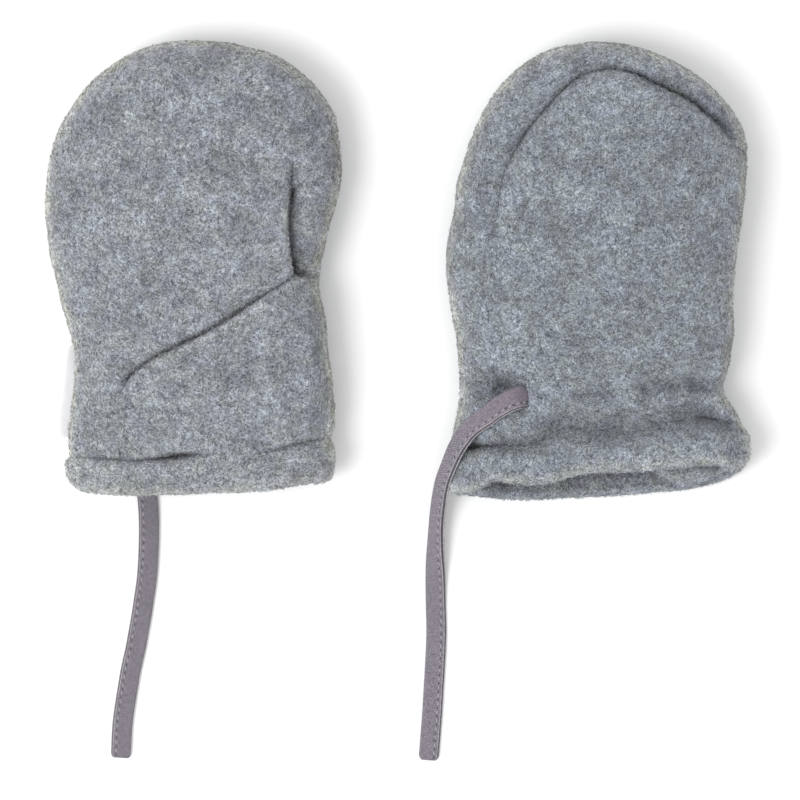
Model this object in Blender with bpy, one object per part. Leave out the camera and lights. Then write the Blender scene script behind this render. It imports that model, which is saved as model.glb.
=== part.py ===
"""A pair of thumbless baby mittens in thick wool fleece, laid flat on a surface.

The left mitten lies palm up and the right one lies with the back of the hand up. They are made
from the same pieces: a back panel that wraps round the side, a palm panel, a lower palm piece
that overlaps it along a slanting edge, a turned hem and a flat drawstring tape. The left one
also has a blank side label. +Y runs from the cuffs to the finger ends, +Z is up and the
surface is at z = 0. All sizes in the tables are in millimetres.
"""

import math

import bmesh
import bpy
import numpy as np
from mathutils import Vector

MM = 0.001

# Driving sizes, in millimetres.
WALL = 3.0  # thickness of the fleece
FLAP_WALL = 2.4  # thickness of the overlapping lower palm piece
HEM_WALL = 4.8  # the turned hem is two layers thick
SEAM_GAP = 0.46  # between pieces at a seam
FLAP_DROP = 3.7  # how far the palm panel sinks to pass under the lower palm piece
FLAP_RAMP = 4.6  # over what distance it sinks
FLAP_MARGIN = 1.3  # how far beyond the lower palm piece it is fully sunk
EDGE_LEVEL = 0.42  # height of the side edge, as a share of the total height
TIP_ROLL = 15.0  # depth of the rounding at the finger end
TOP_POWER, TOP_ROOT = 3.0, 2.2  # shape of a section above the side edge
FOOT_POWER, FOOT_ROOT, FOOT_PRESS = 4.4, 2.6, 1.15  # and below it, pressed flat
FOOT_BLEND = 1.2  # height over which the flat underside turns up
ROW_BEND = 24.0  # length over which the rows straighten above the bent crease
LIFT_START, LIFT_RAMP = 36.0, 9.0  # where the raised cuff comes down to the surface
NORMAL_STEP_RING, NORMAL_STEP_Y = 0.02, 0.4  # steps for normals by differences

BACK_COLUMNS = 22
PALM_COLUMNS = 26
FLAP_COLUMNS, FLAP_ROWS = 14, 8
END_SHIFT_POWER = 4  # how closely the columns beside the moving run of the seam follow it
HEM_COLUMNS, HEM_POINTS = 48, 10
HEM_DIP = 1.0  # how far the hem sinks at the crease
HEM_GAP = 0.4  # from the crease to the hem
HEM_BULGE = 0.9  # and how far it stands out half way down
HEM_ROUND = 0.75  # power that squares off its round section

TAPE_WIDTH = 5.8
TAPE_THICK = 1.2
SLOT_LENGTH, SLOT_WIDTH = 6.6, 1.8
LABEL_THICK = 1.2
LABEL_GAP = 0.6  # from the plain side to the label

LEFT_X, RIGHT_X = -58.26, 56.94  # where the middle of each mitten lies
DEPTH_Y = -65.09  # where the foot of both lies


# The left mitten, palm up: one row for each section, from the hem to the finger end.
LEFT_SECTIONS = [  # y, left side x, right side x
    (8.0, -36.6, 39.6),
    (12.5, -35.9, 38.8),
    (21.4, -35.6, 39.0),
    (32.8, -34.6, 38.8),
    (42.7, -34.3, 37.6),
    (50.7, -36.2, 36.7),
    (57.0, -38.0, 35.6),
    (59.8, -38.5, 34.9),
    (62.7, -39.2, 35.2),
    (69.0, -40.8, 36.0),
    (76.9, -41.7, 37.6),
    (85.5, -42.2, 40.2),
    (96.9, -41.3, 41.9),
    (105.4, -38.8, 41.0),
    (111.8, -35.0, 38.8),
    (118.3, -29.9, 33.8),
    (122.5, -25.1, 29.1),
    (125.4, -20.8, 24.8),
    (127.7, -16.5, 19.4),
    (129.2, -12.0, 14.0),
    (130.2, -7.7, 9.4),
    (130.7, 0.9, 0.9),
]
LEFT_HEIGHTS = [  # y, total height
    (8.0, 20.4),
    (20.0, 21.2),
    (40.0, 22.6),
    (70.0, 24.0),
    (131.0, 24.0),
]
LEFT_CREASE_TOP = [  # share of the half width, y of the crease above the hem on the palm
    (-1.0, 12.5),
    (-0.76, 12.0),
    (-0.5, 11.4),
    (-0.05, 12.9),
    (0.5, 13.6),
    (0.72, 15.6),
    (1.0, 17.7),
]
LEFT_CREASE_FOOT = [(-1.0, 12.5), (0.0, 13.8), (1.0, 17.7)]  # the same below
LEFT_EDGE_TOP = [  # share of the half width, y and height of the hem's edge on the palm side
    (-1.0, 7.0, 10.5),
    (-0.93, 4.6, 15.0),
    (-0.78, 3.0, 18.6),
    (-0.48, 1.4, 19.8),
    (0.0, 2.0, 20.2),
    (0.6, 3.1, 19.6),
    (0.86, 5.0, 17.0),
    (0.95, 5.4, 14.4),
    (1.0, 9.0, 10.5),
]
LEFT_EDGE_FOOT = [
    (-1.0, 7.0, 10.5),
    (-0.8, 4.0, 3.4),
    (-0.4, 2.6, 2.2),
    (0.4, 3.4, 2.2),
    (0.85, 6.0, 3.4),
    (1.0, 9.0, 10.5),
]
LEFT_HEM_REACH = (-37.2, 39.8)  # x of the hem at either side
LEFT_FLAP_STOP = 1.86  # ring parameter where the lower palm piece ends, just round the side

# The right mitten, back of the hand up.
RIGHT_SECTIONS = [  # y, left side x, right side x
    (12.0, -42.9, 44.4),
    (15.1, -42.3, 43.6),
    (21.9, -40.6, 40.6),
    (25.4, -39.7, 38.2),
    (28.4, -39.3, 36.0),
    (31.6, -39.2, 34.8),
    (38.5, -39.5, 36.2),
    (48.4, -40.8, 37.6),
    (59.8, -42.9, 38.2),
    (66.5, -43.6, 38.8),
    (76.9, -42.6, 39.9),
    (82.5, -41.2, 40.7),
    (91.2, -40.1, 41.6),
    (99.0, -37.7, 42.2),
    (105.4, -35.3, 40.8),
    (111.8, -31.9, 37.2),
    (118.3, -27.4, 31.1),
    (122.0, -23.9, 26.1),
    (125.4, -19.1, 19.7),
    (127.7, -14.2, 14.0),
    (129.1, -9.4, 9.4),
    (129.9, -4.3, 5.4),
    (130.2, 0.9, 0.9),
]
RIGHT_HEIGHTS = [
    (12.0, 18.4),
    (20.0, 19.0),
    (26.0, 20.8),
    (32.0, 20.0),
    (42.0, 21.8),
    (70.0, 24.0),
    (131.0, 24.0),
]
RIGHT_CREASE_TOP = [
    (-1.0, 15.1),
    (-0.7, 15.8),
    (-0.46, 16.2),
    (-0.28, 19.6),
    (-0.08, 19.9),
    (0.14, 19.1),
    (0.43, 21.1),
    (0.86, 22.9),
    (1.0, 21.7),
]
RIGHT_CREASE_FOOT = [(-1.0, 15.1), (0.0, 17.5), (1.0, 21.7)]
RIGHT_EDGE_TOP = [
    (-1.0, 4.2, 10.5),
    (-0.93, 3.2, 13.2),
    (-0.87, 3.0, 15.0),
    (-0.78, 4.8, 18.2),
    (-0.71, 6.2, 19.4),
    (-0.62, 5.4, 19.8),
    (-0.45, 4.7, 20.2),
    (-0.33, 5.4, 21.2),
    (-0.17, 8.0, 22.6),
    (-0.02, 8.9, 23.0),
    (0.28, 9.4, 23.2),
    (0.6, 10.7, 22.8),
    (0.76, 11.0, 21.6),
    (0.9, 10.2, 18.0),
    (0.97, 10.6, 14.2),
    (1.0, 12.6, 10.5),
]
RIGHT_EDGE_FOOT = [
    (-1.0, 4.2, 10.5),
    (-0.97, 1.9, 5.4),
    (-0.78, 0.5, 0.2),
    (-0.56, -0.1, 0.0),
    (-0.22, 0.8, 0.0),
    (0.06, 1.4, 0.0),
    (0.34, 2.6, 0.0),
    (0.62, 3.8, 0.0),
    (0.76, 4.7, 0.2),
    (0.9, 6.2, 1.4),
    (0.98, 8.6, 4.6),
    (1.0, 12.6, 10.5),
]
RIGHT_HEM_REACH = (-42.9, 44.0)
RIGHT_FLAP_STOP = 2.16

# The long seam between back and palm, the same on both mittens.
SEAM_LEFT = [  # y, share of the half width on the back side, from the crease to its highest point
    (12.0, -0.80),
    (32.8, -0.779),
    (48.4, -0.745),
    (59.8, -0.70),
    (71.2, -0.69),
    (79.2, -0.70),
    (85.5, -0.715),
    (92.0, -0.711),
    (97.9, -0.689),
    (102.8, -0.649),
    (108.0, -0.587),
    (111.6, -0.525),
    (116.0, -0.435),
    (119.8, -0.33),
    (122.4, -0.17),
    (123.4, 0.05),
]
SEAM_RIGHT_BACK = [  # y, share on the back side, from the highest point to the side edge
    (123.4, 0.05),
    (122.9, 0.28),
    (120.6, 0.47),
    (117.4, 0.629),
    (115.1, 0.73),
    (110.6, 0.82),
    (106.3, 0.905),
    (102.0, 0.965),
    (98.6, 1.0),
]
SEAM_RIGHT_PALM = [  # y, share on the palm side, from the side edge down to the crease
    (97.2, 0.965),
    (95.5, 0.915),
    (93.5, 0.85),
    (91.0, 0.78),
    (88.6, 0.725),
    (86.0, 0.705),
    (83.2, 0.708),
    (74.4, 0.761),
    (69.5, 0.794),
    (65.5, 0.834),
    (63.3, 0.865),
    (57.0, 0.885),
    (45.6, 0.87),
    (28.5, 0.84),
    (12.0, 0.84),
]
ROW_STATIONS = [  # y of the rows of points over the panels
    20.0, 24.5, 29.0, 33.5, 39.0, 45.0, 51.0, 56.5, 60.5, 64.0, 68.0, 74.0, 80.0, 84.4,
    87.0, 88.8, 90.8, 92.8, 94.8, 96.8, 98.6, 100.6, 103.8, 108.0, 112.0, 115.0, 117.4, 118.5, 119.5,
    120.6, 121.6, 122.6, 123.4,
    125.2, 127.2, 128.8, 130.0,
]  # fmt: skip
SEAM_TOP = 123.4

# The lower palm piece: its slanting edge and its inner end, x as a share of the half width.
FLAP_SLANT = [  # share, y
    (1.0, 60.6),
    (0.94, 62.6),
    (0.87, 63.6),
    (0.73, 60.7),
    (0.63, 58.7),
    (0.498, 55.9),
    (0.268, 51.0),
    (0.071, 47.3),
    (-0.171, 43.3),
    (-0.408, 39.0),
    (-0.562, 34.4),
]
FLAP_END = [(34.4, -0.562), (31.6, -0.60), (28.0, -0.622), (22.8, -0.59), (12.0, -0.46)]  # y, share

# Troughs pressed into the outer surface: x share, y, depth.
TROUGH_UPPER_CREASE = [  # above the drawstring casing, on the back side
    (-0.99, 33.6, 0.4),
    (-0.9, 33.1, 1.3),
    (-0.62, 32.5, 1.2),
    (-0.42, 29.8, 0.6),
    (-0.17, 30.4, 0.6),
    (0.04, 31.3, 0.8),
    (0.36, 32.3, 1.0),
    (0.74, 32.9, 1.7),
    (0.97, 32.0, 1.2),
]
TROUGH_GATHER = [(-0.40, 20.9, 0.9), (-0.28, 23.6, 1.3), (-0.18, 26.4, 1.0), (-0.08, 29.2, 0.3)]
SEAM_DEPTHS = [  # y along the left run, depth of the trough
    (12.0, 0.4),
    (60.0, 0.5),
    (80.0, 0.9),
    (95.0, 1.5),
    (110.0, 1.8),
    (123.4, 2.0),
]
FOLD_DEPTHS = [  # y along the right run, depth on the palm side
    (12.0, 0.0),
    (58.0, 0.0),
    (63.5, 2.2),
    (70.0, 2.1),
    (82.0, 1.8),
    (90.0, 1.2),
    (95.0, 0.2),
    (99.0, 0.1),
]
SEAM_BACK_DEPTHS = [(98.0, 0.1), (101.0, 0.8), (104.0, 1.6), (112.0, 2.2), (123.4, 2.0)]  # right run, back side
PUCKERS = [  # how many round the ring, height, phase
    (14, 0.55, 0.4),
    (20, 0.48, 1.9),
    (26, 0.30, 3.1),
]

# The tapes: x, y, height of the middle, roll in degrees, from the exit to the free end.
RIGHT_TAPE = [
    (-20.9, 29.5, 20.0, 0.0),
    (-22.6, 29.0, 21.3, 0.0),
    (-25.8, 27.8, 21.3, -6.0),
    (-28.6, 26.2, 20.2, -10.0),
    (-32.8, 23.5, 18.4, -14.0),
    (-36.9, 20.4, 16.6, -22.0),
    (-40.2, 15.8, 14.6, -34.0),
    (-43.0, 9.8, 12.4, -44.0),
    (-44.9, 4.0, 8.0, -46.0),
    (-45.9, -2.5, 4.4, -46.0),
    (-46.4, -9.0, 2.9, -44.0),
    (-46.6, -15.0, 2.3, -34.0),
    (-46.6, -22.0, 1.3, -12.0),
    (-46.5, -30.0, 0.85, 0.0),
    (-46.3, -39.0, 0.85, 0.0),
    (-46.8, -49.0, 0.85, 0.0),
    (-47.4, -60.0, 0.85, 0.0),
    (-48.2, -70.0, 0.85, 0.0),
    (-48.6, -75.0, 0.85, 0.0),
]
LEFT_TAPE = [
    (-21.4, 32.0, 0.85, 0.0),
    (-18.4, 20.0, 0.85, 0.0),
    (-15.4, 9.0, 0.85, 0.0),
    (-13.7, -1.0, 0.85, 0.0),
    (-13.4, -11.0, 0.85, 0.0),
    (-13.8, -20.0, 0.85, 0.0),
    (-15.0, -30.0, 0.85, 0.0),
    (-16.9, -41.0, 0.85, 0.0),
    (-19.2, -52.5, 0.85, 0.0),
    (-20.8, -63.0, 0.85, 0.0),
    (-21.5, -74.3, 0.85, 0.0),
]
SLOT_PLACE = (-20.9, 29.5)

LABEL_OUTER = [  # y, x of the label's free edge
    (17.9, -37.6),
    (18.6, -38.7),
    (26.6, -38.3),
    (31.9, -37.4),
    (39.7, -36.8),
    (43.3, -35.9),
    (44.1, -35.4),
]


def clear_scene():
    for thing in list(bpy.data.objects):
        bpy.data.objects.remove(thing, do_unlink=True)


def curve_through(rows, at):
    """Read a smooth curve through table rows at the given first-column values."""
    table = np.array(rows, dtype=float)
    knots, values = table[:, 0], table[:, 1:]
    if knots[0] > knots[-1]:
        knots, values = knots[::-1], values[::-1]
    slopes = np.gradient(values, knots, axis=0)
    at = np.clip(np.asarray(at, dtype=float), knots[0], knots[-1])
    low = np.clip(np.searchsorted(knots, at) - 1, 0, len(knots) - 2)
    step = knots[low + 1] - knots[low]
    t = ((at - knots[low]) / step)[..., None]
    step = step[..., None]
    start = (1 + 2 * t) * (1 - t) ** 2 * values[low] + t * (1 - t) ** 2 * step * slopes[low]
    end = t**2 * (3 - 2 * t) * values[low + 1] + t**2 * (t - 1) * step * slopes[low + 1]
    return start + end


def route_through(rows, spacing):
    """Points of a smooth route through 3-D rows, evenly spaced along its length."""
    table = np.array(rows, dtype=float)
    run = np.concatenate([[0.0], np.cumsum(np.linalg.norm(np.diff(table[:, :3], axis=0), axis=1))])
    keyed = np.column_stack([run, table])
    count = max(4, int(round(run[-1] / spacing)) + 1)
    return curve_through(keyed, np.linspace(0.0, run[-1], count))


def smooth_step(t):
    t = np.clip(t, 0.0, 1.0)
    return t * t * (3 - 2 * t)


class Mitten:
    """One mitten's form. The ring parameter runs 0 to 2 over the back and 2 to 4 over the palm."""

    def __init__(self, sections, heights, creases, palm_up, lift, flap_stop):
        self.tip = sections[-1][0]
        self.sections = [(math.sqrt(self.tip - y), left, right) for y, left, right in sections]
        self.heights = heights
        self.crease_top, self.crease_foot = creases
        self.palm_up = palm_up
        self.lift = lift
        self.flap_stop = flap_stop
        self.crease_mean = float(np.mean([row[1] for row in self.crease_top]))
        self.lines = self.make_lines()

    def sides(self, y):
        """x of the left and right side at each y."""
        depth = np.sqrt(np.maximum(self.tip - np.asarray(y, dtype=float), 0.0))
        both = curve_through(self.sections, depth)
        return both[..., 0], both[..., 1]

    def share_of(self, ring):
        """Share of the half width, from -1 at the left side to 1 at the right side."""
        ring = np.mod(ring, 4.0)
        return np.sin(np.where(ring <= 2.0, ring - 1.0, 3.0 - ring) * math.pi / 2)

    def is_top(self, ring):
        on_back = np.mod(ring, 4.0) <= 2.0
        return on_back != self.palm_up

    def base(self, share, y, top):
        """Points of the plain outer form, before troughs are pressed in."""
        left, right = self.sides(y)
        height = curve_through(self.heights, y)[..., 0]
        toe = np.sqrt(1 - (1 - np.clip((self.tip - y) / TIP_ROLL, 0.0, 1.0)) ** 2)
        level = EDGE_LEVEL * height
        size = np.clip(np.abs(share), 0.0, 1.0)
        above = (height - level) * toe * (1 - size**TOP_POWER) ** (1 / TOP_ROOT)
        below = level * toe * FOOT_PRESS * (1 - size**FOOT_POWER) ** (1 / FOOT_ROOT)
        floor = self.lowest(y)
        turn = np.clip(1 - np.abs(level - below - floor) / FOOT_BLEND, 0.0, 1.0)
        foot = np.maximum(level - below, floor) + turn**2 * FOOT_BLEND / 4
        z = np.where(top, level + above, foot)
        return np.stack([(left + right) / 2 + (right - left) / 2 * share, y, z], axis=-1)

    def lowest(self, y):
        """Height of the underside: a cuff with the tape under it stands off the surface."""
        return self.lift * (1 - smooth_step((y - LIFT_START) / LIFT_RAMP))

    def plain(self, ring, y):
        return self.base(self.share_of(ring), y, self.is_top(ring))

    def normals(self, ring, y):
        """Outward normals of the plain form, by differences."""
        low, high = np.maximum(y - NORMAL_STEP_Y, 0.0), np.minimum(y + NORMAL_STEP_Y, self.tip - 0.05)
        around = self.plain(ring + NORMAL_STEP_RING, y) - self.plain(ring - NORMAL_STEP_RING, y)
        upward = self.plain(ring, high) - self.plain(ring, low)
        found = np.cross(around, upward) * (-1.0 if self.palm_up else 1.0)
        return found / np.maximum(np.linalg.norm(found, axis=-1), 1e-9)[:, None]

    def sheet(self, ring, y, wall, sinks):
        """Outer and inner points of a sheet of cloth at the given places."""
        points, normals = self.plain(ring, y), self.normals(ring, y)
        moved = self.relief(points, ring)
        if sinks:
            moved -= self.flap_drop(points, ring)
        outer = points + normals * moved[:, None]
        inner = points + normals * (moved - wall)[:, None]
        outer[:, 2] = np.maximum(outer[:, 2], self.lowest(y))
        return outer, inner

    def crease_at(self, share, top):
        above = curve_through(self.crease_top, share)[..., 0]
        below = curve_through(self.crease_foot, share)[..., 0]
        return np.where(top, above, below)

    def seam_ring(self, y):
        """Ring parameter of the long seam on its left and right runs, at each y."""
        left = 1 + np.arcsin(np.clip(curve_through(SEAM_LEFT, y)[..., 0], -1, 1)) * 2 / math.pi
        runs = [(row_y, 1 + math.asin(share) * 2 / math.pi) for row_y, share in SEAM_RIGHT_BACK]
        runs += [(row_y, 3 - math.asin(share) * 2 / math.pi) for row_y, share in SEAM_RIGHT_PALM]
        return left, curve_through(runs, y)[..., 0]

    def make_lines(self):
        """The troughs as dense lines: top or not, points x y, depths, width, and left width."""
        lines = []
        back_top = not self.palm_up

        def add(rows, top, width, other_width=None):
            table = np.array(rows, dtype=float)
            steps = np.linspace(0, len(table) - 1, 12 * len(table))
            share, y, depth = (np.interp(steps, np.arange(len(table)), table[:, i]) for i in range(3))
            points = self.base(share, y, np.full(share.shape, top))[:, :2]
            lines.append((top, points, depth, width, other_width or width))

        def with_depth(rows, depths):
            found = curve_through(depths, [y for y, share in rows])[:, 0]
            return [(share, y, d) for (y, share), d in zip(rows, found)]

        arc = with_depth(SEAM_LEFT, SEAM_DEPTHS) + with_depth(SEAM_RIGHT_BACK, SEAM_BACK_DEPTHS)[1:]
        add(arc, back_top, 2.7)
        add(with_depth(SEAM_RIGHT_PALM, FOLD_DEPTHS), not back_top, 4.2, 1.5)
        add(TROUGH_UPPER_CREASE, back_top, 2.8)
        add(TROUGH_GATHER, back_top, 2.6)
        return lines

    def relief(self, points, ring):
        """How far each outer point moves outward, in millimetres."""
        top = self.is_top(ring)
        moved = np.zeros(len(points))
        rows = np.arange(len(points))
        for line_top, line, depth, width, other_width in self.lines:
            gap = points[:, None, :2] - line[None, :, :]
            away = np.linalg.norm(gap, axis=2)
            near = np.argmin(away, axis=1)
            forward = np.gradient(line, axis=0)[near]
            chosen = gap[rows, near]
            side = forward[:, 0] * chosen[:, 1] - forward[:, 1] * chosen[:, 0]
            reach = np.where(side > 0, width, other_width)
            fall = np.exp(-((away[rows, near] / reach) ** 1.4))
            moved -= np.where(top == line_top, depth[near] * fall, 0.0)
        share = self.share_of(ring)
        above_crease = points[:, 1] - self.crease_at(share, top)
        moved -= 1.3 * np.exp(-((above_crease / 2.4) ** 2))
        strength = np.where(top != self.palm_up, 1.0, 0.25)
        for count, height, phase in PUCKERS:
            wave = np.sin(ring * math.pi / 2 * count + phase)
            spread = np.exp(-(((above_crease - 10.0) / 9.0) ** 2))
            moved += height * wave * spread * strength
        return moved

    def flap_top(self, ring):
        """y of the lower palm piece's slanting edge, level once it is round the side."""
        share = self.share_of(ring)
        return np.where(np.mod(ring, 4.0) > 2.0, curve_through(FLAP_SLANT, share)[..., 0], FLAP_SLANT[0][1])

    def flap_end_ring(self, y):
        """Ring parameter of the lower palm piece's inner end at each y."""
        return 3 - np.arcsin(curve_through(FLAP_END, y)[..., 0]) * 2 / math.pi

    def flap_drop(self, points, ring):
        """How far the layer below the lower palm piece sinks at each point."""
        border = self.flap_border()
        away = np.min(np.linalg.norm(points[:, None, :] - border[None, :, :], axis=2), axis=1)
        around = np.mod(ring, 4.0)
        between = (around >= self.flap_stop) & (around <= self.flap_end_ring(points[:, 1]))
        inside = between & (points[:, 1] <= self.flap_top(ring))
        return FLAP_DROP * np.where(inside, 1.0, 1 - smooth_step((away - FLAP_MARGIN) / FLAP_RAMP))

    def flap_border(self):
        """Points along the three free sides of the lower palm piece."""
        ring = np.linspace(self.flap_stop, self.flap_end_ring(FLAP_END[0][0]), 90)
        slant = self.base(self.share_of(ring), self.flap_top(ring), self.is_top(ring))
        end_y = np.linspace(FLAP_END[0][0], FLAP_END[-1][0], 60)
        end_ring = self.flap_end_ring(end_y)
        end = self.base(self.share_of(end_ring), end_y, self.is_top(end_ring))
        side_y = np.linspace(self.crease_mean, FLAP_SLANT[0][1], 60)
        side_ring = np.full(60, self.flap_stop)
        side = self.base(self.share_of(side_ring), side_y, self.is_top(side_ring))
        return np.vstack([slant, end, side])

    def row_y(self, ring, station):
        """y along one row: rows follow the bent crease near it and are level higher up."""
        crease = self.crease_at(self.share_of(ring), self.is_top(ring))
        if station is None:
            return crease
        bend = 1 - smooth_step((station - self.crease_mean) / ROW_BEND)
        return station + bend * (crease - self.crease_mean)

    def stations(self, highest):
        low = self.crease_mean + 2.2
        return [None] + [y for y in ROW_STATIONS if low < y <= highest]


def mesh_object(name, verts, faces, material):
    """Make an object from points in millimetres."""
    mesh = bpy.data.meshes.new(name)
    mesh.from_pydata([tuple(v * MM for v in point) for point in verts], [], faces)
    mesh.validate()
    obj = bpy.data.objects.new(name, mesh)
    bpy.context.scene.collection.objects.link(obj)
    obj.data.materials.append(material)
    for polygon in mesh.polygons:
        polygon.use_smooth = True
    return obj


def grid_faces(rows, columns, round_rows=False):
    faces = []
    last = columns if round_rows else columns - 1
    for r in range(rows - 1):
        for c in range(last):
            d = (c + 1) % columns
            faces.append((r * columns + c, r * columns + d, (r + 1) * columns + d, (r + 1) * columns + c))
    return faces


def wall_object(name, outer, inner, faces, material):
    """A sheet with a wall: both sides and a rim along its border, drawn in by half a seam gap.

    Each rim face is split the same way as its neighbour's across the seam, so they stay apart.
    """
    keys, merged = {}, []
    for point in np.round(outer, 3):
        merged.append(keys.setdefault(tuple(point), len(keys)))
    first = {new: old for old, new in reversed(list(enumerate(merged)))}
    order = [first[i] for i in range(len(keys))]
    outer, inner = outer[order], inner[order]
    kept = []
    for face in faces:
        corners = [merged[i] for i in face]
        corners = [c for i, c in enumerate(corners) if c != corners[i - 1]]
        if len(corners) > 2:
            kept.append(tuple(corners))
    directed = {(face[i - 1], face[i]) for face in kept for i in range(len(face))}
    border = [(a, b) for a, b in directed if (b, a) not in directed]
    places = [tuple(point) for point in outer]
    outer, inner = draw_in(outer, inner, kept, border)
    count = len(outer)
    verts = np.vstack([outer, inner])
    solid = list(kept)
    solid += [tuple(count + i for i in reversed(face)) for face in kept]
    for a, b in border:
        if places[a] < places[b]:
            solid += [(b, a, count + b), (a, count + a, count + b)]
        else:
            solid += [(b, a, count + a), (b, count + a, count + b)]
    return mesh_object(name, verts, solid, material)


def draw_in(outer, inner, faces, border):
    """Move the border points into the sheet, and their inner twins by as much."""
    toward = {}
    centres = [outer[list(face)].mean(axis=0) for face in faces]
    on_border = {i for edge in border for i in edge}
    for face, centre in zip(faces, centres):
        for i in face:
            if i in on_border:
                toward.setdefault(i, []).append(centre - outer[i])
    neighbours = {}
    for a, b in border:
        neighbours.setdefault(a, []).append(b)
        neighbours.setdefault(b, []).append(a)
    outer, inner = outer.copy(), inner.copy()
    moves = {}
    for i, pulls in toward.items():
        pull = np.sum(pulls, axis=0)
        through = outer[i] - inner[i]
        through /= np.linalg.norm(through)
        pull -= through * (pull @ through)
        if len(neighbours[i]) == 2:
            a, b = (outer[n] - outer[i] for n in neighbours[i])
            a, b = a / np.linalg.norm(a), b / np.linalg.norm(b)
            if a @ b < -0.5:
                tangent = (a - b) / np.linalg.norm(a - b)
                pull -= tangent * (pull @ tangent)
        moves[i] = pull / max(np.linalg.norm(pull), 1e-9) * SEAM_GAP / 2
    for i, move in moves.items():
        outer[i] += move
        inner[i] += move
    return outer, inner


def make_panel(name, form, is_back, left_ring, right_ring, columns, highest, material):
    """A panel between two runs of the seam, from the crease up, with its wall.

    Its columns are even, and those near the right run shift to follow it round the side.
    """
    rows = form.stations(highest)
    rings, ys = [], []
    even = np.linspace(0.0, 1.0, columns + 1)
    for station in rows:
        y = min(form.crease_mean if station is None else station, SEAM_TOP)
        start, end = float(left_ring(y)), float(right_ring(y))
        past_side = max((end if is_back else start) - 2.0, 0.0)
        if is_back:
            ring = start + (end - past_side - start) * even + past_side * even**END_SHIFT_POWER
        else:
            start -= past_side
            ring = start + (end - start) * even + past_side * (1 - even) ** END_SHIFT_POWER
        rings.append(ring)
        ys.append(form.row_y(ring, station))
    ring, y = np.concatenate(rings), np.concatenate(ys)
    outer, inner = form.sheet(ring, y, WALL, True)
    faces = grid_faces(len(rows), columns + 1)
    if highest > SEAM_TOP:
        left, right = form.sides(form.tip)
        tip = np.array([[(left + right) / 2, form.tip, EDGE_LEVEL * form.heights[-1][1]]])
        start = (len(rows) - 1) * (columns + 1)
        faces.extend([(start + c, start + c + 1, len(outer)) for c in range(columns)])
        outer = np.vstack([outer, tip])
        inner = np.vstack([inner, tip - (0.0, WALL, 0.0)])
    if form.palm_up:
        faces = [face[::-1] for face in faces]
    return wall_object(name, outer, inner, faces, material)


def make_flap(name, form, material):
    """The lower palm piece, a sheet over the palm panel from the slant down to the crease."""
    rings, ys = [], []
    for q in np.linspace(0.0, 1.0, FLAP_ROWS + 1):
        end_y = FLAP_END[-1][0] + (FLAP_END[0][0] - FLAP_END[-1][0]) * q
        ring = np.linspace(form.flap_stop, float(form.flap_end_ring(end_y)), FLAP_COLUMNS + 1)
        low = form.crease_at(form.share_of(ring), form.is_top(ring))
        rings.append(ring)
        ys.append(low + (form.flap_top(ring) - low) * q)
    outer, inner = form.sheet(np.concatenate(rings), np.concatenate(ys), FLAP_WALL, False)
    faces = grid_faces(FLAP_ROWS + 1, FLAP_COLUMNS + 1)
    if form.palm_up:
        faces = [face[::-1] for face in faces]
    return wall_object(name, outer, inner, faces, material)


def make_hem(name, form, edges, reach, material):
    """The turned hem: a closed ring of rounded section from the crease to the cuff's edge."""
    edge_top, edge_foot = edges
    ring = np.arange(HEM_COLUMNS) * 4.0 / HEM_COLUMNS
    share, top = form.share_of(ring), form.is_top(ring)
    crease_y = form.crease_at(share, top)
    crease, out = form.plain(ring, crease_y), form.normals(ring, crease_y)
    chosen = np.where(top[:, None], curve_through(edge_top, share), curve_through(edge_foot, share))
    middle, half = (reach[0] + reach[1]) / 2, (reach[1] - reach[0]) / 2
    edge = np.stack([middle + half * share, chosen[:, 0], chosen[:, 1]], axis=-1)
    verts = []
    for c in range(HEM_COLUMNS):
        start = crease[c] - out[c] * (HEM_DIP + HEM_WALL / 2)
        along = edge[c] - crease[c]
        along /= np.linalg.norm(along)
        edge_out = out[c] - along * float(out[c] @ along)
        edge_out /= np.linalg.norm(edge_out)
        start = start + along * HEM_GAP
        stop = edge[c] - edge_out * HEM_WALL / 2
        for p in range(HEM_POINTS):
            angle = 2 * math.pi * p / HEM_POINTS
            u = math.copysign(abs(math.cos(angle)) ** HEM_ROUND, -math.cos(angle))
            w = math.copysign(abs(math.sin(angle)) ** HEM_ROUND, math.sin(angle))
            share_along = (u + 1) / 2
            facing = out[c] + (edge_out - out[c]) * share_along
            facing /= np.linalg.norm(facing)
            point = start + (stop - start) * share_along
            verts.append(point + facing * (w * HEM_WALL / 2 + HEM_BULGE * (1 - u * u)))
    verts = np.array(verts)
    verts[:, 2] = np.maximum(verts[:, 2], form.lift)
    faces = grid_faces(HEM_COLUMNS, HEM_POINTS, round_rows=True)
    last = (HEM_COLUMNS - 1) * HEM_POINTS
    for p in range(HEM_POINTS):
        q = (p + 1) % HEM_POINTS
        faces.append((last + p, last + q, q, p))
    obj = mesh_object(name, verts, faces, material)
    face_out(obj)
    return obj


def face_out(obj):
    bm = bmesh.new()
    bm.from_mesh(obj.data)
    bmesh.ops.recalc_face_normals(bm, faces=bm.faces)
    bm.to_mesh(obj.data)
    bm.free()


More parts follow.
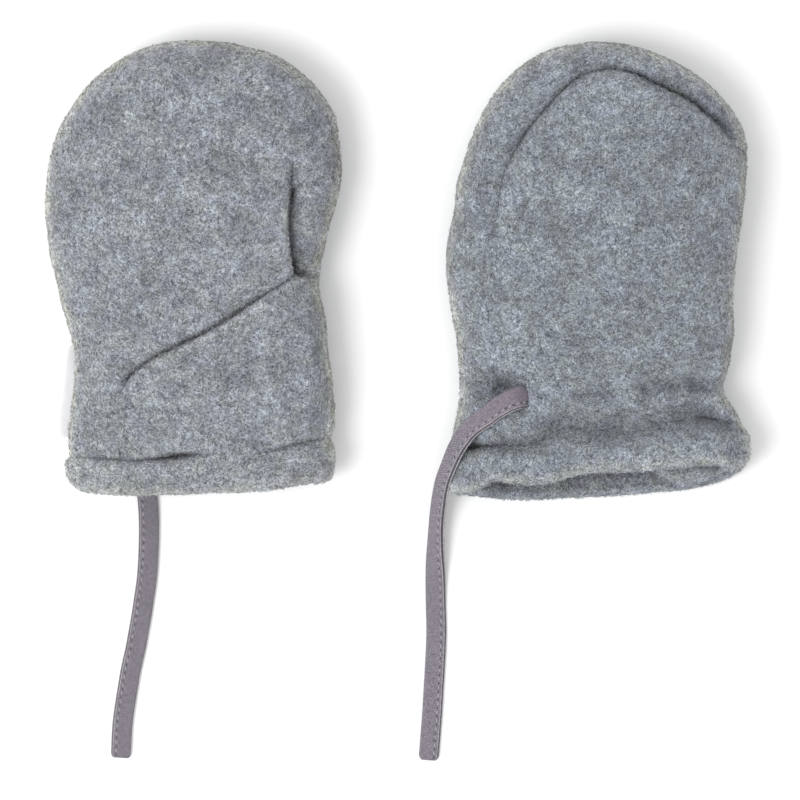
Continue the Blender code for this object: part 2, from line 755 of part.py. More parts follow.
def make_tape(name, rows, material):
    """A flat tape of rounded section along its route."""
    path = route_through(rows, 2.6)
    points, rolls = path[:, :3], path[:, 3]
    ahead = np.gradient(points, axis=0)
    ahead /= np.linalg.norm(ahead, axis=1)[:, None]
    half_w, half_t = TAPE_WIDTH / 2, TAPE_THICK / 2
    section = [
        (-half_w, 0.0),
        (-half_w + half_t * 0.5, -half_t),
        (half_w - half_t * 0.5, -half_t),
        (half_w, 0.0),
        (half_w - half_t * 0.5, half_t),
        (-half_w + half_t * 0.5, half_t),
    ]
    verts = []
    for point, forward, roll in zip(points, ahead, rolls):
        across = np.cross(forward, (0.0, 0.0, 1.0))
        across /= np.linalg.norm(across)
        lift = np.cross(across, forward)
        turn = math.radians(roll)
        wide = across * math.cos(turn) + lift * math.sin(turn)
        thick = lift * math.cos(turn) - across * math.sin(turn)
        verts.extend([point + wide * a + thick * b for a, b in section])
    faces = grid_faces(len(points), len(section), round_rows=True)
    faces.append(tuple(range(len(section))))
    last = (len(points) - 1) * len(section)
    faces.append(tuple(last + i for i in reversed(range(len(section)))))
    obj = mesh_object(name, verts, faces, material)
    face_out(obj)
    return obj


def cut_slot(panel, place, along):
    """Cut the buttonhole that the tape comes out of."""
    bpy.ops.mesh.primitive_cube_add(size=1.0)
    cutter = bpy.context.active_object
    cutter.name = "slot_cutter"
    cutter.scale = (SLOT_WIDTH * MM, SLOT_LENGTH * MM, along[1] * MM)
    cutter.location = Vector((place[0], place[1], along[0])) * MM
    cutter.hide_render = True
    cutter.display_type = "WIRE"
    modifier = panel.modifiers.new("slot", "BOOLEAN")
    modifier.object = cutter
    modifier.operation = "DIFFERENCE"
    modifier.solver = "EXACT"
    bpy.context.view_layer.update()
    graph = bpy.context.evaluated_depsgraph_get()
    mesh = bpy.data.meshes.new_from_object(panel.evaluated_get(graph))
    panel.modifiers.clear()
    panel.data = mesh
    bpy.data.objects.remove(cutter, do_unlink=True)


def make_label(name, form, material):
    """The blank label, a folded strip standing out from the side."""
    rows = np.linspace(LABEL_OUTER[0][0], LABEL_OUTER[-1][0], 12)
    outer_x = curve_through(LABEL_OUTER, rows)[:, 0]
    side, _ = form.sides(rows)
    level = EDGE_LEVEL * curve_through(form.heights, rows)[:, 0]
    verts = []
    for y, far, near, z in zip(rows, outer_x, side, level):
        for x, up in ((near - LABEL_GAP, -0.5), (far, -0.5), (far, 0.5), (near - LABEL_GAP, 0.5)):
            verts.append((x, y, z + up * LABEL_THICK))
    faces = grid_faces(len(rows), 4, round_rows=True)
    faces.append((0, 1, 2, 3))
    last = (len(rows) - 1) * 4
    faces.append((last + 3, last + 2, last + 1, last))
    obj = mesh_object(name, verts, faces, material)
    face_out(obj)
    return obj


def make_material(name, color, roughness):
    material = bpy.data.materials.new(name)
    material.use_nodes = True
    shader = material.node_tree.nodes["Principled BSDF"]
    shader.inputs["Base Color"].default_value = (*color, 1.0)
    shader.inputs["Roughness"].default_value = roughness
    shader.inputs["Metallic"].default_value = 0.0
    return material


def set_down(objects, x):
    """Move finished pieces to their place and leave them unturned at the origin."""
    for obj in objects:
        for vert in obj.data.vertices:
            vert.co += Vector((x, DEPTH_Y, 0.0)) * MM


def make_mitten(side, form, edges, reach, tape_rows, fleece, tape, label):
    """All the pieces of one mitten, named for the side of the pair it lies on."""

    def left_run(y):
        return form.seam_ring(np.array([y]))[0][0]

    def right_run(y):
        return form.seam_ring(np.array([y]))[1][0]

    back = make_panel(
        side + "_back_panel", form, True, left_run, right_run, BACK_COLUMNS, SEAM_TOP, fleece
    )
    palm = make_panel(
        side + "_palm_panel",
        form,
        False,
        right_run,
        lambda y: left_run(y) + 4.0,
        PALM_COLUMNS,
        form.tip,
        fleece,
    )
    flap = make_flap(side + "_lower_palm", form, fleece)
    hem = make_hem(side + "_hem", form, edges, reach, fleece)
    cord = make_tape(side + "_drawstring", tape_rows, tape)
    slot_z = (3.0, 9.0) if form.palm_up else (18.0, 9.0)
    cut_slot(back, SLOT_PLACE, slot_z)
    pieces = [back, palm, flap, hem, cord]
    if label:
        pieces.append(make_label(side + "_side_label", form, label))
    return pieces


def main():
    clear_scene()
    left_form = Mitten(LEFT_SECTIONS, LEFT_HEIGHTS, (LEFT_CREASE_TOP, LEFT_CREASE_FOOT), True, 2.0, LEFT_FLAP_STOP)
    right_form = Mitten(
        RIGHT_SECTIONS, RIGHT_HEIGHTS, (RIGHT_CREASE_TOP, RIGHT_CREASE_FOOT), False, 0.0, RIGHT_FLAP_STOP
    )
    left_fleece = make_material("left_fleece", (0.285, 0.305, 0.335), 0.95)
    right_fleece = make_material("right_fleece", (0.275, 0.295, 0.325), 0.95)
    tape = make_material("woven_tape", (0.26, 0.235, 0.265), 0.85)
    label = make_material("white_label", (0.86, 0.86, 0.86), 0.8)
    left = make_mitten(
        "left", left_form, (LEFT_EDGE_TOP, LEFT_EDGE_FOOT), LEFT_HEM_REACH, LEFT_TAPE, left_fleece, tape, label
    )
    right = make_mitten(
        "right", right_form, (RIGHT_EDGE_TOP, RIGHT_EDGE_FOOT), RIGHT_HEM_REACH, RIGHT_TAPE, right_fleece, tape, None
    )
    set_down(left, LEFT_X)
    set_down(right, RIGHT_X)


main()
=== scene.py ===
"""Looks for a pair of thumbless baby mittens in thick grey wool fleece, laid flat.

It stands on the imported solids, which it loads as the frame. Each panel, lower palm piece, hem,
tape and label is rebuilt as a finer mesh in its own solid's place: the same formulas and tables
of sizes, on a closer grid, with rolled edges, small creases and the uneven surface of the cloth.
Fibres stand on every sheet of cloth. Sizes are in millimetres round each mitten's own middle
line, +Y from the cuff to the finger end and +Z up, and they become metres when a mesh is made.
"""

import logging
import math
from collections.abc import Callable, Sequence
from dataclasses import dataclass, field
from enum import Enum

import bmesh
import bpy
import numpy as np
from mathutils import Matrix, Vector, noise


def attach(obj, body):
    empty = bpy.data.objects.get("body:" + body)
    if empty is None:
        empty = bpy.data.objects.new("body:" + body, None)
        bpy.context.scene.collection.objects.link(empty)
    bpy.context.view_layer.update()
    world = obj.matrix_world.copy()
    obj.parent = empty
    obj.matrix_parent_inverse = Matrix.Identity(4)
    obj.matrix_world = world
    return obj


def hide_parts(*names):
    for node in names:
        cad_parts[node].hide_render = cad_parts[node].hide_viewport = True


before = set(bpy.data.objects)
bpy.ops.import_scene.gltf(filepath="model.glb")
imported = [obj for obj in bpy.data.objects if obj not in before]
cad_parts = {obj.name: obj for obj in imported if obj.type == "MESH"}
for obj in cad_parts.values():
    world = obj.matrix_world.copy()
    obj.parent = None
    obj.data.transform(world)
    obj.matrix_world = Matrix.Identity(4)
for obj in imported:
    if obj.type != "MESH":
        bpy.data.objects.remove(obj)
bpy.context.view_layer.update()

Array = np.ndarray
Rows = Sequence[Sequence[float]]
Face = tuple[int, ...]
Place = tuple[float, float, float]
Colour = tuple[float, float, float]
Piece = bpy.types.Object
Material = bpy.types.Material
Socket = bpy.types.NodeSocket
Tree = bpy.types.NodeTree

LOG = logging.getLogger("mittens")
MM = 0.001
BODY = "root"
WHITE = (1.0, 1.0, 1.0)
TINY = 1e-9  # the least length that a vector is divided by
CHUNK = 2000  # points that are measured at once, to save memory
CLOTH_SHARP, TAPE_SHARP, LABEL_SHARP = math.radians(62), math.radians(50), math.radians(60)

# Sizes that the solids have too, in millimetres.
EDGE_LEVEL = 0.42  # height of the side edge, as a share of the total height
TIP_ROLL = 15.0  # depth of the rounding at the finger end
TOP_POWER, TOP_ROOT = 3.0, 2.2  # shape of a section above the side edge
FOOT_POWER, FOOT_ROOT, FOOT_PRESS = 4.4, 2.6, 1.15  # and below it, pressed flat
FOOT_BLEND = 1.2  # height over which the flat underside turns up
ROW_BEND = 24.0  # length over which the rows straighten above the bent crease
LIFT_START, LIFT_RAMP = 36.0, 9.0  # where the raised cuff comes down to the surface
END_SHIFT_POWER = 4  # how closely the columns beside the moving run of the seam follow it
FOLD_WIDTHS = (4.2, 1.5)  # how wide the crisp upright fold is on the lower piece and on the palm
FOLD_PALM_SHARE = 0.35  # how much of its depth the palm's cloth takes
ARCH_WIDTH, UPPER_CREASE_WIDTH, GATHER_WIDTH = 2.3, 2.2, 2.6  # of the other troughs
PUCKER_Y, PUCKER_REACH = 10.0, 9.0  # where above the crease the gathers are highest, and how far they go
PALM_PUCKERS = 0.25  # how high they are on the palm's side, against the back's
TAPE_WIDTH = 5.8
DEPTH_Y = -65.09  # where the foot of both mittens lies
LEFT_X, RIGHT_X = -58.26, 56.94  # where the middle of each one lies

# Sizes of the cloth itself.
WALL = 2.9  # thickness of the fleece
FLAP_WALL = 2.3  # of the lower palm piece, pressed at its edges
HEM_WALL = 4.8  # the turned hem is two layers thick
SEAM_GAP = 0.12  # between pieces at a seam
FLAP_DROP = 2.9  # how far the palm panel sinks under the lower palm piece
FLAP_RAMP = 1.6  # over what distance it sinks
FLAP_MARGIN = 0.3  # how far beyond the lower palm piece it is fully sunk
FLAP_FADE = 2.6  # how far inside a smooth border it is fully sunk
FLAP_CLEAR = 0.25  # between the lower palm piece and the panel under it
FLAP_THINNEST = 0.1  # thickness that the lower palm piece keeps at a smooth border
FLAP_EASE, FLAP_EASE_WIDTH = 0.14, 2.4  # how high it lies at a smooth border, and how far in
FLAP_LIP, FLAP_LIP_PLACE, FLAP_LIP_WIDTH = 0.3, 1.2, 1.1  # how it swells beside a crisp one
HOLLOW_WIDTH = 0.8  # how far the painted shade of a seam reaches, standing in for fibres that keep the light out
CREASE_SHADE = 0.2  # how much painted shade darkens a crease, for each millimetre of its depth
FLAP_SHADE = 0.6  # and how much painted shade darkens the cloth that passes under the lower palm piece
SIDE_PAINTED_LIGHT = 1.0  # how much painted light makes the cloth paler and sandier where it turns down, standing in for fibres lit at its edges
HEM_BULGE = 0.8  # how far the hem swells between its crease and its lip
NORMAL_STEP_RING, NORMAL_STEP_Y = 0.02, 0.4  # steps for normals by differences
GRID = 1.0  # spacing of the points of a panel
ARC_STEPS = 6  # sides of each half circle in a tape's section
SURFACE_WAVES = [(15.0, 0.45), (6.5, 0.26), (2.8, 0.15)]  # size and height of the cloth's unevenness

# The left mitten, palm up: one row for each section, from the hem to the finger end.
LEFT_SECTIONS = [  # y, left side x, right side x
    (8, -36.6, 39.6), (12.5, -35.9, 38.8), (21.4, -35.6, 39), (32.8, -34.6, 38.8), (42.7, -34.3, 37.6),
    (50.7, -36.2, 36.7), (57, -38, 35.6), (59.8, -38.5, 34.9), (62.7, -39.2, 35.2), (69, -40.8, 36),
    (76.9, -41.7, 37.6), (85.5, -42.2, 40.2), (96.9, -41.3, 41.9), (105.4, -38.8, 41), (111.8, -35, 38.8),
    (118.3, -29.9, 33.8), (122.5, -25.1, 29.1), (125.4, -20.8, 24.8), (127.7, -16.5, 19.4),
    (129.2, -12, 14), (130.2, -7.7, 9.4), (130.7, 0.9, 0.9),
]
LEFT_HEIGHTS = [(8, 20.4), (20, 21.2), (40, 22.6), (70, 24), (131, 24)]  # y, total height
LEFT_CREASE_TOP = [  # share of the half width, y of the crease above the hem on the palm
    (-1, 12.5), (-0.76, 12), (-0.5, 11.4), (-0.05, 12.9), (0.5, 13.6), (0.72, 15.6), (1, 17.7),
]
LEFT_CREASE_FOOT = [(-1, 12.5), (0, 13.8), (1, 17.7)]  # the same below
LEFT_EDGE_TOP = [  # share of the half width, y and height of the hem's edge on the palm side
    (-1, 5.6, 10.5), (-0.93, 3.6, 15), (-0.78, 2.5, 18.6), (-0.48, 1.4, 19.8), (0, 2, 20.2),
    (0.6, 3.3, 19.6), (0.81, 4.8, 17.7), (0.93, 5.1, 14.8), (1, 5.5, 10.5),
]
LEFT_EDGE_FOOT = [
    (-1, 5.6, 10.5), (-0.8, 3.4, 3.4), (-0.4, 2.6, 2.2), (0.4, 3.4, 2.2), (0.85, 5, 3.4), (1, 5.5, 10.5),
]
LEFT_HEM_REACH = (-37.2, 39.8)  # x of the hem at either side
LEFT_FLAP_STOP = 1.86  # ring parameter where the lower palm piece ends, just round the side

# The right mitten, back of the hand up.
RIGHT_SECTIONS = [  # y, left side x, right side x
    (12, -42.9, 44.4), (15.1, -42.3, 43.6), (21.9, -40.6, 40.6), (25.4, -39.7, 38.2), (28.4, -39.3, 36),
    (31.6, -39.2, 34.8), (38.5, -39.5, 36.2), (48.4, -40.8, 37.6), (59.8, -42.9, 38.2),
    (66.5, -43.6, 38.8), (76.9, -42.6, 39.9), (82.5, -41.2, 40.7), (91.2, -40.1, 41.6), (99, -37.7, 42.2),
    (105.4, -35.3, 40.8), (111.8, -31.9, 37.2), (118.3, -27.4, 31.1), (122, -23.9, 26.1),
    (125.4, -19.1, 19.7), (127.7, -14.2, 14), (129.1, -9.4, 9.4), (129.9, -4.3, 5.4), (130.2, 0.9, 0.9),
]
RIGHT_HEIGHTS = [(12, 18.4), (20, 19), (26, 20.8), (32, 20), (42, 21.8), (70, 24), (131, 24)]
RIGHT_CREASE_TOP = [
    (-1, 15.1), (-0.7, 15.8), (-0.46, 16.2), (-0.28, 19.6), (-0.08, 19.9), (0.14, 19.1), (0.43, 21.1),
    (0.86, 22.9), (1, 21.7),
]
RIGHT_CREASE_FOOT = [(-1, 15.1), (0, 17.5), (1, 21.7)]
RIGHT_EDGE_TOP = [
    (-1, 1.9, 10.2), (-0.93, 2, 13.2), (-0.87, 2.4, 15), (-0.78, 4.4, 18.2), (-0.71, 6.2, 19.4),
    (-0.62, 5.4, 19.8), (-0.45, 4.7, 20.2), (-0.33, 5.4, 21.2), (-0.17, 8, 22.6), (-0.02, 8.9, 23),
    (0.28, 9.4, 23.2), (0.6, 10.7, 22.8), (0.76, 11, 21.6), (0.88, 10.2, 18.2), (0.96, 10.4, 14.6),
    (1, 12.4, 10.5),
]
RIGHT_EDGE_FOOT = [
    (-1, 1.9, 10.2), (-0.97, 1.5, 5.4), (-0.89, 1.3, 1.6), (-0.78, 0.7, 0.2), (-0.56, -0.1, 0),
    (-0.22, 0.4, 0), (0.06, 0.9, 0), (0.34, 1.9, 0), (0.62, 3.2, 0), (0.74, 4.4, 0.3), (0.84, 5.8, 1.4),
    (0.92, 7.6, 3.2), (0.98, 10.2, 6.6), (1, 12.4, 10.5),
]
RIGHT_HEM_REACH = (-42.9, 44.0)
MOUTH_FOLD_Y, MOUTH_FOLD_SHARE, MOUTH_FOLD_LEAN = 8.8, 0.335, 0.035  # where a second layer starts inside it
MOUTH_SHADE = [  # share of the half width, how dark the painted shade makes the cloth close under the right mitten's lip
    (-1, 0), (-0.76, 0.2), (-0.65, 1), (-0.52, 0.4), (-0.25, 0.3), (-0.05, 0.8), (0.16, 0.8), (0.32, 0.3),
    (0.52, 0.3), (0.64, 1), (0.78, 1), (0.86, 0.2), (1, 0),
]
RIGHT_FLAP_STOP = 2.16

# The long seam between back and palm, the same on both mittens.
SEAM_LEFT = [  # y, share of the half width on the back side, from the crease to its highest point
    (12, -0.8), (32.8, -0.779), (48.4, -0.745), (59.8, -0.7), (71.2, -0.69), (79.2, -0.7), (85.5, -0.715),
    (92, -0.711), (97.9, -0.689), (102.8, -0.649), (108, -0.587), (111.6, -0.525), (116, -0.435),
    (119.8, -0.33), (122.4, -0.17), (123.4, 0.05),
]
SEAM_RIGHT_BACK = [  # y, share on the back side, from the highest point to the side edge
    (123.4, 0.05), (122.9, 0.28), (120.6, 0.47), (117.4, 0.629), (115.1, 0.73), (110.6, 0.82),
    (106.3, 0.905), (102, 0.965), (98.6, 1),
]
SEAM_RIGHT_PALM = [  # y, share on the palm side, from the side edge down to the crease
    (97.2, 0.965), (95.5, 0.915), (93.5, 0.85), (91, 0.78), (88.6, 0.725), (86, 0.705), (83.2, 0.708),
    (74.4, 0.761), (69.5, 0.794), (65.5, 0.834), (63.3, 0.865), (57, 0.885), (45.6, 0.87), (28.5, 0.84),
    (12, 0.84),
]
SEAM_TOP = 123.4

# The lower palm piece: its slanting edge and its inner end, x as a share of the half width.
FLAP_SLANT = [  # share, y
    (1, 60.6), (0.94, 62.6), (0.87, 63.6), (0.73, 60.7), (0.63, 58.7), (0.498, 55.9), (0.268, 51),
    (0.071, 47.3), (-0.171, 43.3), (-0.408, 39), (-0.562, 34.4),
]
FLAP_END = [(34.4, -0.562), (31.6, -0.6), (28, -0.622), (22.8, -0.59), (12, -0.46)]  # y, share

# Troughs pressed into the outer surface: x share, y, depth.
TROUGH_UPPER_CREASE = [  # above the drawstring casing, on the back side
    (-0.99, 33.6, 0.4), (-0.9, 33.1, 1.3), (-0.62, 32.5, 1.2), (-0.42, 29.8, 0.6), (-0.17, 30.4, 0.6),
    (0.04, 31.3, 0.8), (0.36, 32.3, 1.2), (0.6, 32.7, 2), (0.8, 32.9, 2.9), (0.97, 32, 2.2),
]
TROUGH_GATHER = [(-0.4, 20.9, 0.9), (-0.28, 23.6, 1.3), (-0.18, 26.4, 1), (-0.08, 29.2, 0.3)]
SEAM_DEPTHS = [  # y along the left run, depth of the trough
    (12, 0), (60, 0.1), (71, 0.9), (80, 1.4), (95, 2.1), (110, 2.5), (123.4, 2.4),
]
FOLD_DEPTHS = [  # y along the right run, depth on the palm side
    (12, 0), (58, 0), (63.5, 3.2), (70, 3.2), (82, 2.9), (87, 2), (89.5, 1), (92, 0.2), (99, 0),
]
SEAM_BACK_DEPTHS = [  # right run, back side
    (98, 0.5), (101, 1.8), (104, 2.9), (112, 3.4), (120, 3.1), (123.4, 2.5),
]

# How crisp the line of each seam is: 0 where both cloths run on, 1 where both edges roll in.
LEFT_RUN_CRISP = [(12, 0), (71, 0), (85, 0.1), (98, 0.4), (106, 0.8), (114, 1), (123.4, 1.2)]
RIGHT_RUN_CRISP = [
    (12, 0.6), (57, 0.8), (64, 2.8), (84, 2.5), (86.8, 1.9), (88, 0.8), (88.8, 0.1), (90, 0), (97.6, 0),
    (98.6, 0.4), (100.5, 1.1), (106, 2), (112, 3), (118, 3), (122.6, 2), (123.4, 1.2),
]
FLAP_END_CRISP = [(12, 0), (28, 0), (30, 0.15), (32.6, 0.5), (34.4, 0.85)]  # y, along its inner end
LEFT_DIP = [  # share of the half width; depth, width and crispness of the crease above the hem, on top
    (-1, 0.3, 1.2, 0.2), (-0.92, 0.5, 1, 0.5), (-0.76, 0.7, 0.9, 0.6), (-0.5, 0.7, 0.9, 0.7),
    (-0.38, 1.2, 1.1, 1.1), (-0.28, 2.4, 1.3, 2.2), (-0.16, 3, 1.4, 2.9), (-0.08, 2.2, 1.3, 2.1),
    (0.02, 0.8, 1.2, 0.6), (0.1, 0.05, 1.2, 0), (0.42, 0.05, 1.2, 0), (0.52, 0.7, 1.3, 0.4),
    (0.7, 1.2, 1.7, 0.65), (0.9, 1.2, 1.9, 0.5), (1, 0.7, 1.6, 0.3),
]
RIGHT_DIP = [
    (-1, 0.7, 1.6, 0.4), (-0.94, 1.8, 1.7, 1.1), (-0.87, 3.3, 1.8, 2.4), (-0.78, 2, 1.8, 1.3),
    (-0.65, 2.2, 2, 0.5), (-0.47, 2.5, 2.3, 0.25), (-0.34, 2.8, 2.7, 0.1), (-0.1, 2.1, 2.9, 0.1),
    (0.12, 1.9, 2.8, 0.05), (0.4, 2, 2.8, 0.1), (0.61, 2.3, 2.9, 0.15), (0.85, 2.6, 2.9, 0.4),
    (0.94, 1.2, 2.6, 0.3), (1, 0.2, 2.2, 0),
]
FOOT_DIP = [(-0.7, 0.8, 1.6, 0.5), (0.7, 0.8, 1.6, 0.5)]  # the same on the underside, between both sides
PUCKERS = [(14, 0.55, 0.4), (20, 0.48, 1.9), (26, 0.3, 3.1)]  # how many round the ring, height, phase

# The tapes: x, y, height of the middle, roll in degrees, from the exit to the free end.
RIGHT_TAPE = [
    (-19.8, 29.9, 17.6, 0), (-21.2, 29.6, 19.4, 0), (-23, 29.2, 20.9, 0), (-25.8, 28.2, 21.3, -6),
    (-28.7, 26.5, 20.2, -10), (-32.8, 23.5, 18.4, -14), (-36.9, 20.4, 16.6, -22),
    (-40.2, 15.8, 14.6, -34), (-43, 9.8, 12.4, -44), (-44.9, 4, 8, -46), (-45.9, -2.5, 4.4, -46),
    (-46.4, -9, 2.9, -44), (-46.6, -15, 2.3, -34), (-46.6, -22, 1.3, -12), (-46.5, -30, 0.85, 0),
    (-46.3, -39, 0.85, 0), (-46.8, -49, 0.85, 0), (-47.4, -60, 0.85, 0), (-48.2, -70, 0.85, 0),
    (-48.6, -75, 0.85, 0),
]
LEFT_TAPE = [
    (-21.75, 32, 0.85, 0), (-18.75, 20, 0.85, 0), (-15.75, 9, 0.85, 0), (-14.05, -1, 0.85, 0),
    (-13.75, -11, 0.85, 0), (-14.15, -20, 0.85, 0), (-15.35, -30, 0.85, 0), (-17.25, -41, 0.85, 0),
    (-19.55, -52.5, 0.85, 0), (-21.15, -63, 0.85, 0), (-21.85, -74.3, 0.85, 0),
]

LABEL_OUTER = [  # y, x of the label's free edge
    (17.9, -37.3), (18.4, -38.2), (19.4, -38.7), (21.4, -38.7), (26.6, -38.3), (31.9, -37.4),
    (39.7, -36.8), (43.3, -35.9), (44.1, -35.4),
]


class Side(Enum):
    """Which side of a mitten lies up."""

    PALM = "palm"
    BACK = "back"


@dataclass(frozen=True)
class Crease:
    """A soft trough in the upper cloth, or a ridge where its depth is below zero.

    Its points are x, y and depth. The second width holds on the right-hand side of its run.
    """

    points: Rows
    width: float
    other_width: float = 0.0
    power: float = 1.6


# Small creases, each placed one by one: x, y and depth.
LEFT_CREASES = [
    Crease([(28.2, 84, 1.4), (28.1, 88, 2.8), (28.1, 91.6, 2.8), (28.3, 96, 0.1)], 0.7, 2.2),
    Crease([(26.4, 94, -0.1), (26, 86, -0.6), (25.8, 77, -0.7), (26.5, 69.5, -0.7), (27.4, 65.6, -0.4)], 1.4),
    Crease([(34.6, 94, -0.1), (34.6, 86, -0.7), (34.2, 77, -0.8), (33.6, 70, -0.4)], 3.6, 3.6, 2),
    Crease([(29.8, 66.4, 1.8), (30.8, 65, 3.6), (32.2, 64.8, 2), (33.6, 64.4, 3.8), (35.6, 62.4, 1.4)], 1.2),
    Crease([(37.4, 109, 0.3), (40.2, 106.2, 0.5)], 1),
    Crease([(38, 105, 0.2), (41, 103, 0.5)], 0.9),
    Crease([(38.6, 101.8, 0.3), (41.6, 99.6, 0.4)], 1),
    Crease([(-16.2, 20, 0.3), (-15.4, 15.4, 0.5)], 0.9),
    Crease([(-16.8, 38.4, 0.3), (-19.8, 33.2, 0.7), (-21, 29.6, 0.4), (-21.2, 26, 0.05)], 1.6),
    Crease([(-8, 70, 0.3), (4, 78, 0.6), (12, 90, 0.1)], 7, 7, 2),
    Crease([(-22, 58, -0.3), (-14, 84, -0.6), (0, 104, -0.2)], 7, 7, 2),
    Crease([(6, 18, 0.2), (9, 26, 0.5), (10, 36, 0.1)], 4, 4, 2),
]
RIGHT_CREASES = [
    Crease([(-24.2, 84, 0.2), (-22.4, 84.6, 0.9), (-20.6, 84.2, 0.3)], 1.1),
    Crease([(-20.8, 98.2, 0.4), (-18.9, 97.2, 0.7)], 1),
    Crease([(-39.2, 66, 0.5), (-36.6, 66.8, 0.9), (-33.6, 66.3, 0.3)], 1.2),
    Crease([(-38.4, 79, 0.6), (-36.2, 79.5, 0.3)], 0.9),
    Crease([(-28.6, 97.4, 0.5), (-26.9, 98.6, 0.3)], 0.9),
    Crease([(35.8, 108, 0.3), (38.6, 104.6, 0.7), (40.6, 100.4, 0.4)], 1),
    Crease([(38.4, 107, 0.4), (41, 102.6, 0.5)], 0.8),
    Crease([(-37, 28.6, 0.8), (-31.4, 30.6, 2.4), (-27.4, 32.6, 3), (-23, 34, 1.4)], 2.4, 1.6),
    Crease([(-20.6, 34, -0.3), (-19.2, 31.8, -1.4), (-19.2, 28.4, -1.4), (-20.6, 25.8, -0.4)], 1.3),
    Crease([(-25, 25.2, 0.8), (-23, 25.7, 2.6), (-21.2, 26.8, 1.6)], 1.3),
    Crease([(-32, 19, -0.7), (-29.4, 20.2, -1.1), (-26.4, 20.6, -0.6)], 3.4, 3.4, 2),
    Crease([(-8, 32.8, 0.4), (-6.8, 30.4, 0.7)], 0.9),
    Crease([(-14, 58, 0.2), (-4, 72, 0.6), (2, 92, 0.1)], 8, 8, 2),
    Crease([(14, 50, -0.3), (18, 74, -0.5), (10, 96, -0.2)], 8, 8, 2),
    Crease([(-15, 22, 0.5), (-4, 23.2, 1.1), (8, 23.4, 1.1), (20, 24.8, 1.3), (34, 25.8, 1.1)], 2.8, 2.8, 2),
]


def curve_through(rows: Rows, at: object) -> Array:
    """Read a smooth curve through table rows.

    Args:
        rows: The table, sorted by its first column.
        at: First-column values to read it at.

    Returns:
        The other columns at those values.
    """
    table = np.array(rows, dtype=float)
    knots, values = table[:, 0], table[:, 1:]
    if knots[0] > knots[-1]:
        knots, values = knots[::-1], values[::-1]
    slopes = np.gradient(values, knots, axis=0)
    at = np.clip(np.asarray(at, dtype=float), knots[0], knots[-1])
    low = np.clip(np.searchsorted(knots, at) - 1, 0, len(knots) - 2)
    step = knots[low + 1] - knots[low]
    t = ((at - knots[low]) / step)[..., None]
    step = step[..., None]
    start = (1 + 2 * t) * (1 - t) ** 2 * values[low] + t * (1 - t) ** 2 * step * slopes[low]
    end = t**2 * (3 - 2 * t) * values[low + 1] + t**2 * (t - 1) * step * slopes[low + 1]
    return start + end


def read(rows: Rows, at: object) -> Array:
    """Read the second column of a table as a smooth curve over its first one."""
    return curve_through(rows, at)[..., 0]


def route_through(rows: Rows, spacing: float) -> Array:
    """Make points of a smooth route, evenly spaced along its length.

    Args:
        rows: The route's own points, with any further columns.
        spacing: Distance between the points that are made.

    Returns:
        The points, with the further columns read at each.
    """
    table = np.array(rows, dtype=float)
    run = np.concatenate([[0.0], np.cumsum(np.linalg.norm(np.diff(table[:, :3], axis=0), axis=1))])
    count = max(4, int(round(run[-1] / spacing)) + 1)
    return curve_through(np.column_stack([run, table]), np.linspace(0.0, run[-1], count))


def smooth_step(t: Array) -> Array:
    """Ease from 0 to 1 as t goes from 0 to 1."""
    t = np.clip(t, 0.0, 1.0)
    return t * t * (3 - 2 * t)


def bell(t: Array, power: float = 2) -> Array:
    """Give 1 where t is 0, falling smoothly to 0 on both sides."""
    return np.exp(-(np.abs(t) ** power))


def unit(vectors: Array) -> Array:
    """Bring vectors to length 1."""
    return vectors / np.maximum(np.linalg.norm(vectors, axis=-1), TINY)[..., None]


def closer(start: float, end: float, count: int) -> list[float]:
    """Give places from a start to an end that lie closer and closer, without the start itself."""
    return [end - (end - start) * (1 - k / count) ** 2 for k in range(1, count + 1)]


def half_gap(crisp: Array) -> Array:
    """Give how far a piece of cloth ends before the middle of its seam, wide where that is crisp."""
    return SEAM_GAP / 2 * (0.15 + 0.85 * np.minimum(crisp, 1.0) + 2.4 * np.maximum(crisp - 1.0, 0.0))


def hollow_share(crisp: Array, away: Array) -> Array:
    """Give how much painted shade darkens cloth down in a seam, from how crisp that is and how far away it
    is.
    """
    return np.minimum(crisp / 1.8, 1.0) * bell(away / HOLLOW_WIDTH)


def turned_down(normals: Array) -> Array:
    """Give how far cloth has turned from lying flat towards standing, 0 where it faces the floor."""
    up = normals[..., 2]
    return np.clip((0.85 - up) / 0.45, 0.0, 1.0) ** 2 * smooth_step((up + 0.35) / 0.5)


def ripple(points: Array, size: float, seed: int) -> Array:
    """Read one of many smooth noises, from about -1 to 1, that changes over a distance of size."""
    shifted = points / size + 17.3 * seed
    return np.array([noise.noise(place) for place in shifted.tolist()])


def arc(centre: tuple[float, float], radius: float, start: float) -> list[tuple[float, float]]:
    """Give points on half a circle, counter-clockwise from a start angle."""
    angles = [start + math.pi * k / ARC_STEPS for k in range(ARC_STEPS + 1)]
    return [(centre[0] + radius * math.cos(a), centre[1] + radius * math.sin(a)) for a in angles]


